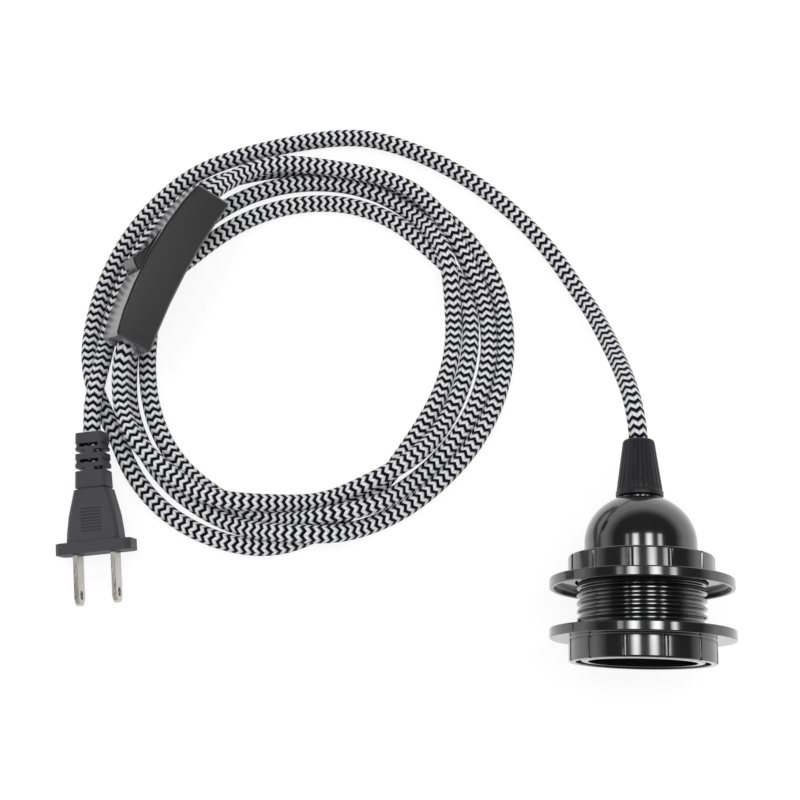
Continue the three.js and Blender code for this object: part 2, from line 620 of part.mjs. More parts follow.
// Brass strips on the base plate: the fulcrum of the see-saw contact, the fixed contact, the neutral link.
function fulcrumStrip() {
  const floor = plateTop(0) + gap;
  const top = bridgeZ - gap;
  const foot = { half: 2.4, height: 0.8 };
  const shoulder = floor + foot.height;
  const outline = [
    [-foot.half, floor], [foot.half, floor], [foot.half, shoulder], [0.8, shoulder],
    [0.35, top], [-0.35, top], [-0.8, shoulder], [-foot.half, shoulder],
  ];
  return plate(outline, bridge.width - 2 * gap).translate([rocker.x, 0, 0]);
}

function fixedStrip() {
  const tipSwing = (bridge.length / 2) * Math.sin(rad(bridge.swing));
  const x = rocker.x + bridge.length / 2 - 1.2;
  const top = bridgeZ - tipSwing - gap;
  const low = plateTop(x) + gap;
  const tail = x + 4.6;
  const outline = [
    [x - 1.6, low], [tail, low - gap], [tail, low + 0.4], [x + 1.2, low + 0.5], [x + 1.2, top], [x - 1.6, top],
  ];
  return plate(outline, bridge.width - 2 * gap);
}

function neutralStrip() {
  const floor = plateTop(0) + gap;
  const half = neutral.length / 2;
  const bar = block(-half, half, -neutral.width / 2, neutral.width / 2, floor, floor + neutral.height);
  const bore = rodX(neutral.bore / 2, -half - 1, half + 1, 0, floor + neutral.height / 2, 10);
  return bar.subtract(bore).translate([0, neutral.y, 0]);
}

function switchGroup() {
  const yaw = new THREE.Group();
  yaw.position.set(switchPlace.x, switchPlace.y, switchPlace.z);
  yaw.rotation.z = rad(switchPlace.turn);
  const body = new THREE.Group();
  body.rotation.x = rad(switchPlace.roll);
  yaw.add(body);
  body.add(
    mesh("switch_cover", switchCover(), switchPlastic),
    mesh("switch_base", switchBase(), switchPlastic),
    mesh("rocker_pin", rodY(rocker.pin / 2, -rocker.pinReach, rocker.pinReach, rocker.x, pinZ, 12), steel),
    mesh("fulcrum_terminal", fulcrumStrip(), brass),
    mesh("fixed_contact", fixedStrip(), brass),
    mesh("neutral_link", neutralStrip(), brass),
  );
  const seat = new THREE.Group();
  seat.position.set(rocker.x, 0, pinZ);
  seat.rotation.y = rad(rocker.swing);
  seat.add(
    mesh("switch_rocker", rockerBody(), glossyPlastic),
    mesh("rocker_plunger", plungerBody(), brass),
    mesh("plunger_spring", springCoil(), steel),
  );
  const seesaw = new THREE.Group();
  seesaw.position.set(rocker.x, 0, bridgeZ);
  seesaw.rotation.y = -rad(bridge.swing);
  seesaw.add(mesh("contact_bridge", contactBridge(), brass));
  body.add(seat, seesaw);
  [-1, 1].forEach((side, i) => {
    const housing = slottedScrew(0, switchPost.screwLength).rotate([180, 0, 0]);
    const at = [side * switchPost.x, side * switchPost.y, headSeat];
    body.add(mesh("housing_screw_" + (i + 1), housing.translate(at), steel));
    const end = side * (box.length / 2);
    const inside = side * box.cordInside;
    const cordEnd = rodX(cordDiameter / 2, Math.min(end, inside), Math.max(end, inside), 0, entryZ, 16);
    body.add(mesh(side > 0 ? "switch_cord_end_in" : "switch_cord_end_out", cordEnd, braid));
  });
  return yaw;
}

// A rectangle with cut corners in y-z at one station of the plug.
function plugSection(x, width, height, corner) {
  const y = width / 2, z = height / 2;
  return [
    [x, y, -z + corner], [x, y, z - corner], [x, y - corner, z], [x, -y + corner, z],
    [x, -y, z - corner], [x, -y, -z + corner], [x, -y + corner, -z], [x, y - corner, -z],
  ];
}

// Moulded body: a slotted strain relief, a waist that widens to the flange, and finger grooves.
function plugBody() {
  const { reliefLength: reliefEnd, bodyHeight: height, bodyWidth: width } = plug;
  const bodyEnd = reliefEnd + plug.bodyLength;
  const face = bodyEnd + plug.flangeLength;
  const reliefWidth = (x) => plug.reliefWidth + plug.reliefSpread * x;
  const waist = reliefEnd + plug.bodyLength * 0.5;
  let body = loft([
    plugSection(reliefEnd, plug.neckWidth, height, 1),
    plugSection(waist, lerp(plug.neckWidth, width, 0.68), height, 1.2),
    plugSection(waist + plug.bodyLength * 0.3, width * 0.965, height, 1.2),
    plugSection(bodyEnd + 0.5, width, height, 1.2),
  ]);
  const grooveStart = reliefEnd - plug.neckGroove;
  const relief = (x) => plugSection(x, reliefWidth(x), plug.reliefHeight, 0.8);
  const core = (x) => plugSection(x, reliefWidth(x) - 1.2, plug.reliefHeight - 1, 0.8);
  const flange = (x) => plugSection(x, plug.flangeWidth, plug.flangeHeight, 1.6);
  body = body.add(loft([0, grooveStart].map(relief)));
  body = body.add(loft([grooveStart - 1, reliefEnd + 1].map(core)));
  body = body.add(loft([bodyEnd, face].map(flange)));
  const past = plug.flangeWidth;
  const slot = (x, y0, y1) => blockAcross(x, x + reliefSlots.width, y0, y1, -past, past);
  for (const x of reliefSlots.middleAt) {
    body = body.subtract(slot(x, -reliefSlots.middleReach, reliefSlots.middleReach));
    const from = reliefWidth(x) / 2 - reliefSlots.notch;
    for (const side of [-1, 1]) body = body.subtract(slot(x, side * from, side * past));
  }
  for (const x of reliefSlots.sideAt)
    for (const side of [-1, 1]) body = body.subtract(slot(x, side * reliefSlots.sideFrom, side * past));
  body = body.subtract(rodX(cordDiameter / 2 + gap, -1, reliefEnd - plug.cordStop, 0, 0, 16));
  const groove = { half: fingerGrooves.length / 2, floor: height / 2 - fingerGrooves.depth };
  for (let i = 0; i < fingerGrooves.count; i++) {
    const x = reliefEnd + fingerGrooves.start + i * fingerGrooves.pitch;
    const cut = block(x, x + fingerGrooves.width, -groove.half, groove.half, groove.floor, height);
    body = body.subtract(cut).subtract(cut.mirror([0, 0, 1]));
  }
  const room = { y: blade.thickness / 2 + gap, z: blade.width / 2 + gap };
  for (const s of [-1, 1]) {
    const y = (s * blade.spacing) / 2;
    body = body.subtract(block(face - blade.root - gap, face + 1, y - room.y, y + room.y, -room.z, room.z));
  }
  return body;
}

function plugBlade(side) {
  const face = plug.reliefLength + plug.bodyLength + plug.flangeLength;
  const tip = face + blade.length;
  const start = face - blade.root;
  const z = blade.width / 2;
  const nose = [[2.2, 0], [0.6, 1.2], [0, 2.4]].map(([back, down]) => [tip - back, z - down]);
  const outline = [[start, z], ...nose, ...nose.map(([x, up]) => [x, -up]).reverse(), [start, -z]];
  const hole = rodY(blade.hole / 2, -blade.width, blade.width, tip - blade.holeFromTip, 0, 16);
  return plate(outline, blade.thickness).subtract(hole).translate([0, (side * blade.spacing) / 2, 0]);
}

function placed(place, children) {
  const turn = new THREE.Group();
  const pitch = new THREE.Group();
  const roll = new THREE.Group();
  turn.position.set(place.x, place.y, place.z);
  turn.rotation.z = rad(place.turn);
  pitch.rotation.y = rad(place.pitch);
  roll.rotation.x = rad(place.roll);
  turn.add(pitch);
  pitch.add(roll);
  roll.add(...children);
  return turn;
}

function plugGroup() {
  return placed(plugPlace, [
    mesh("plug_body", plugBody(), plugVinyl),
    mesh("plug_blade_left", plugBlade(-1), nickel),
    mesh("plug_blade_right", plugBlade(1), nickel),
    mesh("plug_cord_end", rodX(cordDiameter / 2, 0, plug.reliefLength - plug.cordStop - gap, 0, 0, 16), braid),
  ]);
}

// A route carried on past its last point, for the room that the coil leaves round it.
function runOn(route, past) {
  const [before, last] = route.slice(-2).map((p) => new THREE.Vector3(...p));
  const on = last.clone().add(last.clone().sub(before).setLength(past));
  return [...route, on.toArray()];
}

// The coil's outer shape, open where the switch, the plug and the free ends of the cord lie in it.
function coilBody() {
  const { radius, height, edge, topEdge, holeRadius: hole } = coil;
  const disc = revolve([
    [0, 0], [radius - edge, 0], [radius, edge],
    [radius, height - topEdge], [radius - topEdge, height], [0, height],
  ], 44);
  const middle = revolve([
    [0, -1], [hole + edge + 1, -1], [hole, edge],
    [hole, height - edge], [hole + edge + 1, height + 1], [0, height + 1],
  ], 36);
  let body = disc.scale([1, coil.stretch, 1]).translate([coil.x, coil.y, 0])
    .subtract(middle.scale([1, coil.holeStretch, 1]).translate([coil.holeX, coil.holeY, 0]));
  const room = cordDiameter / 2 + gap;
  for (const [route, steps] of [[armRoute, 17], [switchTopRoute, 5], [switchEndRoute, 5], [plugRoute, 3]])
    body = body.subtract(cordTube(runOn(route, gap), room, steps + 1));
  const clear = 2 * gap;
  const half = { x: box.length / 2 + clear, y: box.width / 2 + clear };
  const low = -box.endHeight / 2 - clear;
  const high = box.endHeight / 2 + box.topArch + rocker.length / 2;
  const lay = (solidBody, { x, y, z, turn, pitch = 0, roll }) =>
    solidBody.rotate([roll, 0, 0]).rotate([0, pitch, 0]).rotate([0, 0, turn]).translate([x, y, z]);
  const switchRoom = lay(block(-half.x, half.x, -half.y, half.y, low, high), switchPlace);
  const section = (x) => plugSection(x, plug.bodyWidth + 2 * clear, plug.bodyHeight + 2 * clear, 1);
  const plugRoom = lay(loft([-clear, plug.reliefLength + plug.bodyLength].map(section)), plugPlace);
  const bodies = body.subtract(switchRoom).subtract(plugRoom).decompose();
  return bodies.reduce((a, b) => (a.volume() > b.volume() ? a : b));
}

function cords() {
  const r = cordDiameter / 2;
  const group = new THREE.Group();
  group.add(
    mesh("cord_from_holder", cordTube(armRoute, r, 17), braid),
    mesh("cord_into_switch", cordTube(switchTopRoute, r, 5), braid),
    mesh("cord_out_of_switch", cordTube(switchEndRoute, r, 5), braid),
    mesh("cord_to_plug", cordTube(plugRoute, r, 3), braid),
    mesh("cord_coil", coilBody(), braid),
  );
  return group;
}

const set = new THREE.Group();
set.add(lampHolder(), switchGroup(), plugGroup(), cords());
export default set;
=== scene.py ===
import math

import bpy
import numpy as np
from mathutils import Matrix


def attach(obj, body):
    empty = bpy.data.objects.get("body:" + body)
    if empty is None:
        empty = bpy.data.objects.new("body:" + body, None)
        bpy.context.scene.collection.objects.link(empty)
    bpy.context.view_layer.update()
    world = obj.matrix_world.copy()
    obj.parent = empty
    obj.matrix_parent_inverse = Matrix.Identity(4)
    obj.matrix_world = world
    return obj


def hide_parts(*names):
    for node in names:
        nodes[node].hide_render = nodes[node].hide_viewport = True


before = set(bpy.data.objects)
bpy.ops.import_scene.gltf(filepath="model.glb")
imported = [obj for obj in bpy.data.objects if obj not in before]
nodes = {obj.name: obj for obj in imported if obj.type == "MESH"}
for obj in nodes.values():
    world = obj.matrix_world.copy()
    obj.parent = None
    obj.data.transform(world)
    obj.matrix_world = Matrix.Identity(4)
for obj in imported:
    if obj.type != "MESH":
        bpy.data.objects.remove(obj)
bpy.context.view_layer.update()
mm = 0.001

# The camera looks down at a point on the floor from a distance, turned about the upright and tilted
# away from it. Lengths are in mm and angles in degrees, but the nearest that it sees is in m.
view = {
    "aim": (-77.543, 54.487, 0.0),
    "distance": 436,
    "turn": 1.9664,
    "tilt": 16,
    "lens": 56.25,
    "sensor": 36,
    "nearest": 0.01,
}


# Turn, pitch and roll in degrees as one matrix whose columns are the turned axes.
def turned(turn, pitch, roll):
    t, p, r = np.radians((turn, pitch, roll))
    aboutZ = np.array([[np.cos(t), -np.sin(t), 0], [np.sin(t), np.cos(t), 0], [0, 0, 1]])
    aboutY = np.array([[np.cos(p), 0, np.sin(p)], [0, 1, 0], [-np.sin(p), 0, np.cos(p)]])
    aboutX = np.array([[1, 0, 0], [0, np.cos(r), -np.sin(r)], [0, np.sin(r), np.cos(r)]])
    return aboutZ @ aboutY @ aboutX


def placed(thing, right, up, back, place):
    bpy.context.scene.collection.objects.link(thing)
    turn = np.eye(4)
    turn[:3, 0], turn[:3, 1], turn[:3, 2], turn[:3, 3] = right, up, back, place
    thing.matrix_world = Matrix(turn.tolist())


def makeCamera():
    data = bpy.data.cameras.new("camera")
    data.lens = view["lens"]
    data.sensor_width = view["sensor"]
    data.clip_start = view["nearest"]
    camera = bpy.data.objects.new("camera", data)
    right, up, back = turned(view["turn"], 0, view["tilt"]).T
    placed(camera, right, up, back, (np.array(view["aim"]) + view["distance"] * back) * mm)
    bpy.context.scene.camera = camera


makeCamera()
print("camera placed")

# The cords: uncoiled stretches by their points, coiled ones by the radius of the lay at even angles
# round the middle of the coil, each with hints of the height at which it crosses the others. Lengths
# are in mm and angles in degrees.
lay = {
    "diameter": 6.0,
    "middle": (-113.0, 75.0),
    "every": 15,  # angle between one radius and the next
    "step": 3.0,  # length of the steps that the cords settle in
    "samples": 24,  # points of a span before it is measured out
}
holderStretch = [
    (0, 19.5, 28.53), (0, 27, 28.53), (0, 35.75, 28.5), (-0.4, 41, 28.4), (-1.2, 48, 27),
    (-2.3, 55.5, 23.6), (-3.7, 63, 19), (-5.6, 71, 14), (-8, 79, 9.6), (-11.2, 87.5, 6),
    (-15.4, 96.5, 3.9), (-20.8, 105.8, 3.1), (-27.6, 115, 3.05), (-35.8, 123.8, 3.05),
    (-45.4, 132.2, 3.05), (-56, 139.6, 3.05), (-67, 145.8, 3.05), (-77.5, 150.6, 3.05),
    (-88.2, 154.2, 3.05), (-98.5, 155.7, 3.05),
]
firstLay = {
    "from": 120,
    "radii": [
        76.5, 75, 74.5, 74, 74.5, 74.5, 75, 77, 78.5, 77.5, 74.5, 67, 61, 57.5, 55, 54.5, 55.5, 57.5,
        61, 63, 64, 64, 62, 60.5, 59.5, 58.5, 58, 56.5, 55.5, 56, 59.5, 62.5, 64, 65.5, 67, 67, 67, 67,
        68, 68.5, 68.5, 67.5, 67, 68, 69.5,
    ],
    "heights": [
        (120, 3.6), (148, 8.6), (172, 5.5), (195, 3), (345, 3), (370, 5), (392, 9), (425, 7.5),
        (455, 8), (480, 5), (500, 3), (580, 3), (600, 4), (630, 7.5), (645, 9), (665, 6), (690, 4),
        (720, 3), (755, 8), (790, 9.2),
    ],
}
switchUpperStretch = [
    (-129.8, 141.6, 9.5), (-136, 138.5, 11), (-140.6, 134.2, 13.7), (-143.9, 129.2, 16.6),
    (-146.1, 124.4, 18.2), (-147.6, 120.7, 18.4), (-149.5, 116.1, 18.4), (-151.4, 111.5, 18.4),
]
switchLowerStretch = [
    (-167.2, 73.5, 18.4), (-169.1, 68.9, 18.4), (-170.95, 64.3, 18.4), (-172.4, 60.6, 18.2),
    (-174, 55.4, 16.4), (-174.9, 49.8, 13.4), (-174.8, 44.2, 10.9), (-173.6, 39, 9.7),
]
secondLay = {
    "from": 240,
    "radii": [
        68, 64.5, 62, 61, 60.5, 59.5, 59.5, 60.5, 61.5, 62.5, 61.5, 58.5, 57, 55.5, 53.5, 52, 51, 51,
        52, 54, 58.5, 63, 67.5, 69, 70, 71, 72, 72.5, 72, 71, 72, 73, 73.5, 71.5, 70, 69, 68.5, 68,
        66.5, 66.5, 70, 70.5, 68.5, 67.5, 69.5, 72.5,
    ],
    "heights": [
        (225, 8.8), (240, 8.5), (270, 9), (300, 9.5), (322, 8), (345, 4), (360, 3), (490, 3), (508, 5),
        (524, 8.6), (545, 8.6), (560, 6), (580, 3.4), (600, 3.1), (615, 6), (630, 9), (645, 8),
        (660, 4.5), (675, 3), (700, 3), (735, 3.6), (760, 3), (860, 3), (885, 6.5), (905, 9.5),
        (915, 9.8),
    ],
}
plugStretch = [
    (-182.2, 45.5, 9.2), (-181.8, 40.8, 9.2), (-181.3, 36.75, 9.05), (-180.4, 29.5, 8.6),
    (-179.7, 23.7, 8.2),
]
switchPlace = {"at": np.array([-159.3, 92.5, 18.4]), "axes": turned(67.55, 0, -60)}
plugPlace = {"at": np.array([-181.25, 36.35, 9.05]), "axes": turned(-82.83, 3.86, 5.4)}
# what the cords lie round: a place, its axes, lowest and highest corner. The box of the switch is 2 mm
# smaller all round than the switch itself, because its sides are arched and the sleeves give way.
obstacles = [
    (switchPlace["at"], switchPlace["axes"], np.array([-30, -8.1, -4.8]), np.array([30, 8.1, 7.9])),
    (plugPlace["at"], plugPlace["axes"], np.array([0, -5.2, -4.4]), np.array([20, 5.2, 4.4])),
    (plugPlace["at"], plugPlace["axes"], np.array([19, -8.0, -4.6]), np.array([36, 8.0, 4.6])),
]


# A point at angle a and radius r round the coil's middle, for each radius of the lay.
def layPoints(turns):
    angle = turns["from"] + lay["every"] * np.arange(len(turns["radii"]))
    height = np.interp(angle, *np.array(turns["heights"], float).T)
    radius = np.array(turns["radii"])
    x = lay["middle"][0] + radius * np.cos(np.radians(angle))
    y = lay["middle"][1] + radius * np.sin(np.radians(angle))
    return np.stack([x, y, height], 1)


def runAlong(points):
    return np.concatenate([[0], np.cumsum(np.linalg.norm(np.diff(points, axis=0), axis=1))])


# Equal steps along a smooth curve: each span is a cubic through its two points whose slopes come from
# the neighbours (Catmull-Rom), sampled finely and then measured out by length.
def evenSteps(points, step):
    points = np.asarray(points, float)
    padded = np.vstack([2 * points[0] - points[1], points, 2 * points[-1] - points[-2]])
    p0, p1, p2, p3 = padded[:-3, None], padded[1:-2, None], padded[2:-1, None], padded[3:, None]
    t = np.linspace(0, 1, lay["samples"], endpoint=False)[None, :, None]
    bendPart, turnPart = 2 * p0 - 5 * p1 + 4 * p2 - p3, 3 * p1 - p0 - 3 * p2 + p3
    curve = 0.5 * (2 * p1 + (p2 - p0) * t + bendPart * t**2 + turnPart * t**3)
    curve = np.vstack([curve.reshape(-1, 3), points[-1]])
    run = runAlong(curve)
    at = np.linspace(0, run[-1], int(round(run[-1] / step)) + 1)
    return np.stack([np.interp(at, run, curve[:, c]) for c in range(3)], 1)


# Distance of each point from a turned box, and the way out of it. A point inside goes out by the
# nearest of the four long sides, never by an end.
def fromBox(points, at, axes, low, high):
    local = (points - at) @ axes
    away = local - np.clip(local, low, high)
    distance = np.linalg.norm(away, axis=1)
    inside = distance < 1e-9
    depth = np.minimum(local - low, high - local)
    depth[:, 0] = np.inf
    row = np.arange(len(local))
    side = np.argmin(depth, axis=1)
    out = np.zeros_like(local)
    out[row, side] = np.where((local - low)[row, side] < (high - local)[row, side], -1, 1)
    distance = np.where(inside, -depth[row, side], distance)
    out = np.where(inside[:, None], out, away / np.maximum(distance, 1e-9)[:, None])
    return distance, out @ axes.T


# How the cords settle. Lengths are in mm, and shares are of the way still to go.
settling = {
    "rounds": 600,
    "reach": 22,  # only points that start this close to each other can come to touch
    "neighbours": 6,  # points of one cord this near in order are never pushed apart
    "heldAtHolder": 26,  # points that stay on their route
    "heldAtSwitch": 4,
    "heldAtPlug": 8,
    "pull": 0.03,  # share of the way back to the seen lay
    "lastPull": 0.009,
    "lastFrom": 0.8,  # share of the rounds after which the last pull comes in
    "sink": 0.04,
    "tightest": 40.0,  # radius under which a bend is straightened
    "straighten": 0.3,
    "straightenTimes": 3,
    "smooth": 0.16,
    "lastSmooth": 0.15,
    "lastSmoothTimes": 4,
    "sideways": 0.5,  # cords that touch part upwards rather than sideways
    "part": 1.3,
    "partTimes": 2,
    "push": 0.4,  # out of the switch and the plug
    "gap": 0.05,
    "overFloor": 0.02,
}


# Twice the way from each middle point to the point halfway between its neighbours.
def bending(points, middle):
    return points[middle - 1] + points[middle + 1] - 2 * points[middle]


# Settles the cords on the floor and on each other: in each round the points are drawn back to the seen
# lay in x and y, sink a little, straighten where they bend too sharply, move apart where two stretches
# are closer than a diameter, and stay outside the switch and the plug.
def settle(first, second):
    s = settling
    seen = np.vstack([first, second])
    points = seen.copy()
    count, cut = len(points), len(first)
    index = np.arange(count)
    a, b = np.triu_indices(count, 1)
    sameCord = (a < cut) == (b < cut)
    close = np.linalg.norm(points[a] - points[b], axis=1) < s["reach"]
    keep = (~sameCord | (b - a > s["neighbours"])) & close
    a, b = a[keep], b[keep]
    held = np.zeros(count, bool)
    held[: s["heldAtHolder"]] = held[-s["heldAtPlug"] :] = True
    held[cut - s["heldAtSwitch"] : cut + s["heldAtSwitch"]] = True
    middle = index[(index > 0) & (index < count - 1) & (index != cut - 1) & (index != cut)]
    bendLimit = lay["step"] ** 2 / s["tightest"]
    d = lay["diameter"]
    lowest = d / 2 + s["overFloor"]
    for turn in range(s["rounds"]):
        pull = s["pull"] if turn < s["lastFrom"] * s["rounds"] else s["lastPull"]
        points[:, :2] += pull * (seen - points)[:, :2]
        points[:, 2] -= s["sink"]
        for again in range(s["straightenTimes"]):
            bend = bending(points, middle)
            size = np.linalg.norm(bend, axis=1)
            excess = np.maximum(size - bendLimit, 0) / np.maximum(size, 1e-9)
            over = s["straighten"] * (bend * excess[:, None])
            move = np.zeros_like(points)
            np.add.at(move, middle, over)
            np.add.at(move, middle - 1, -0.5 * over)
            np.add.at(move, middle + 1, -0.5 * over)
            points += move
            points[held] = seen[held]
        points[middle] += s["smooth"] * bending(points, middle)
        for again in range(s["partTimes"]):
            apart = points[a] - points[b]
            distance = np.sqrt((apart**2).sum(1))
            near = distance < d
            i, j, apart, distance = a[near], b[near], apart[near], distance[near]
            way = apart / np.maximum(distance, 1e-6)[:, None]
            way[:, :2] *= s["sideways"]
            way /= np.maximum(np.linalg.norm(way, axis=1), 1e-6)[:, None]
            shift = (0.5 * (d - distance))[:, None] * way
            total, hits = np.zeros_like(points), np.zeros(count)
            for which, sign in ((i, 1), (j, -1)):
                np.add.at(total, which, sign * shift)
                np.add.at(hits, which, 1)
            points += s["part"] * total / np.maximum(hits, 1)[:, None]
            for obstacle in obstacles:
                distance, out = fromBox(points, *obstacle)
                inside = np.where(held, 0, np.maximum(d / 2 + s["gap"] - distance, 0))
                points += (s["push"] * inside)[:, None] * out
            points[:, 2] = np.maximum(points[:, 2], lowest)
            points[held] = seen[held]
    for again in range(s["lastSmoothTimes"]):
        points[middle] += s["lastSmooth"] * bending(points, middle)
    points[:, 2] = np.maximum(points[:, 2], lowest)
    return points[:cut], points[cut:]


# A closed skin over a grid of points: rows run along, columns run round and join. The two end rows are
# joined to each other (a ring), or each is closed by a fan on its middle. The face order is turned
# round when the skin's volume comes out negative. A uv value is (column / columns, along). Edges over
# the sharp angle (degrees) are marked sharp, and 0 marks none.
def skin(name, points, sharp, ring=False, along=None):
    rows, columns = points.shape[:2]
    place = points.reshape(-1, 3)
    r = np.arange(rows if ring else rows - 1)[:, None]
    c = np.arange(columns)[None, :]
    nextR, nextC = (r + 1) % rows, (c + 1) % columns
    corners = (r * columns + c, r * columns + nextC, nextR * columns + nextC, nextR * columns + c)
    quads = np.stack(np.broadcast_arrays(*corners), -1).reshape(-1, 4)
    loops = quads.reshape(-1)
    sizes = np.full(len(quads), 4)
    around = np.broadcast_to(np.arange(columns), (len(r), columns))
    if along is None:
        along = np.arange(rows, dtype=float)
    low = np.broadcast_to(along[np.broadcast_to(r, around.shape)], around.shape)
    high = np.broadcast_to(along[np.broadcast_to(nextR, around.shape)], around.shape)
    u = np.stack([around, around + 1, around + 1, around], -1).reshape(-1) / columns
    v = np.stack([low, low, high, high], -1).reshape(-1)
    if not ring:
        place = np.vstack([place, points[0].mean(0), points[-1].mean(0)])
        k = np.arange(columns)
        k1 = (k + 1) % columns
        last = (rows - 1) * columns
        foot = np.stack([k1, k, np.full(columns, rows * columns)], 1)
        head = np.stack([last + k, last + k1, np.full(columns, rows * columns + 1)], 1)
        caps = np.vstack([foot, head])
        loops = np.concatenate([loops, caps.reshape(-1)])
        sizes = np.concatenate([sizes, np.full(len(caps), 3)])
        u = np.concatenate([u, np.full(caps.size, 0.5)])
        v = np.concatenate([v, np.repeat([along[0], along[-1]], 3 * columns)])
    starts = np.concatenate([[0], np.cumsum(sizes)[:-1]])
    p = place[loops]
    first, second, third, fourth = p[starts], p[starts + 1], p[starts + 2], p[starts + sizes - 1]
    volume = (np.cross(second - first, third - first) * first).sum()
    volume += (np.cross(third - first, fourth - first) * first)[sizes == 4].sum()
    if volume < 0:
        order = (starts + sizes - 1).repeat(sizes) - (np.arange(len(loops)) - starts.repeat(sizes))
        loops, u, v = loops[order], u[order], v[order]
    data = bpy.data.meshes.new(name)
    data.vertices.add(len(place))
    data.vertices.foreach_set("co", (place * mm).astype(np.float32).reshape(-1))
    data.loops.add(len(loops))
    data.loops.foreach_set("vertex_index", loops.astype(np.int32))
    data.polygons.add(len(sizes))
    data.polygons.foreach_set("loop_start", starts.astype(np.int32))
    data.polygons.foreach_set("use_smooth", np.ones(len(sizes), bool))
    layer = data.uv_layers.new(name="lay")
    data.update(calc_edges=True)
    layer.data.foreach_set("uv", np.stack([u, v], 1).astype(np.float32).reshape(-1))
    data.validate()
    if sharp:
        data.set_sharp_from_angle(angle=math.radians(sharp))
    piece = bpy.data.objects.new(name, data)
    bpy.context.scene.collection.objects.link(piece)
    return piece


def evenAngles(count):
    return np.linspace(0, 2 * np.pi, count, endpoint=False)


# A round section of the cord's radius carried along the settled line. Its frame starts upright and is
# carried on without twist, each direction being the last one made square to the new heading. The
# sleeve sits loosely, so the radius is multiplied by
# 1 + swell * (sin(run / longWave) + sin(run / shortWave + phase) * cos(2 * angle + run / roundWave)).
cordSkin = {
    "radius": 2.97, "columns": 24, "step": 0.9, "swell": 0.05 / 3, "longWave": 23.0, "shortWave": 9.1,
    "phase": 1.3, "roundWave": 31.0,
}


def cordPiece(name, line):
    c = cordSkin
    line = evenSteps(line, c["step"])
    heading = np.gradient(line, axis=0)
    heading /= np.linalg.norm(heading, axis=1)[:, None]
    side = np.zeros_like(line)
    current = np.cross(heading[0], (0.0, 0.0, 1.0))
    for k, way in enumerate(heading):
        current = current - way * (current @ way)
        current /= np.linalg.norm(current)
        side[k] = current
    other = np.cross(heading, side)
    run = runAlong(line)
    angle = evenAngles(c["columns"])
    wide = run[:, None]
    around = np.sin(wide / c["shortWave"] + c["phase"]) * np.cos(2 * angle + wide / c["roundWave"])
    swell = 1 + c["swell"] * (np.sin(wide / c["longWave"]) + around)
    radius = (c["radius"] * swell)[..., None]
    section = np.cos(angle)[None, :, None] * side[:, None] + np.sin(angle)[None, :, None] * other[:, None]
    piece = skin(name, line[:, None] + radius * section, along=run, sharp=0)
    return piece, line, run[-1]


holderRun = np.vstack([holderStretch, layPoints(firstLay), switchUpperStretch])
plugRun = np.vstack([switchLowerStretch, layPoints(secondLay), plugStretch])
firstLine, secondLine = settle(evenSteps(holderRun, lay["step"]), evenSteps(plugRun, lay["step"]))
firstCord, firstPath, firstLength = cordPiece("cord_holder_to_switch", firstLine)
secondCord, secondPath, secondLength = cordPiece("cord_switch_to_plug", secondLine)
print("cords laid, mm:", round(firstLength), round(secondLength))


# ---- materials
# sRGB hex code to linear colour.
def linear(code):
    value = np.array([int(code[i : i + 2], 16) for i in (0, 2, 4)]) / 255
    value = np.where(value <= 0.04045, value / 12.92, ((value + 0.055) / 1.055) ** 2.4)
    return (*value.tolist(), 1.0)


# Adds a node of a kind, sets its properties, sets its inputs or joins them where a socket is given
# (inputs by name or number, or a plain row of them), and returns one output, or the node for None.
def add(tree, kind, inputs=(), out=0, **settings):
    made = tree.nodes.new("ShaderNode" + kind)
    for key, value in settings.items():
        setattr(made, key, value)
    for key, value in inputs.items() if isinstance(inputs, dict) else enumerate(inputs):
        if isinstance(value, bpy.types.NodeSocket):
            tree.links.new(value, made.inputs[key])
        else:
            made.inputs[key].default_value = value
    return made if out is None else made.outputs[out]


# A new material. Underscores stand for the spaces in the names of the shader's sockets.
def newMaterial(name, **shader):
    material = bpy.data.materials.new(name)
    material.use_nodes = True
    tree = material.node_tree
    surface = tree.nodes["Principled BSDF"]
    for key, value in shader.items():
        surface.inputs[key.replace("_", " ")].default_value = value
    return material, tree, surface


# Joins outputs to the shader's sockets.
def feed(tree, surface, **outputs):
    for key, output in outputs.items():
        tree.links.new(output, surface.inputs[key.replace("_", " ")])


# In what follows a pattern's scale is in waves per mm and a height in mm. Slots 0, 6 and 7 of a colour
# mix are its share and two colours, and output 2 is the result. A map range takes value, from, from,
# to, to.

# Polished phenolic moulding: near black and glossy, with a faint flow in the sheen and tiny dust specks.
phenolic = {
    "dark": "08080a", "light": "101012", "dust": "4a4a4e", "dustShare": 0.5, "rough": (0.14, 0.22),
    "flow": 0.09, "speck": 2.6, "swell": 0.22, "height": 0.02, "strength": 0.35,
}


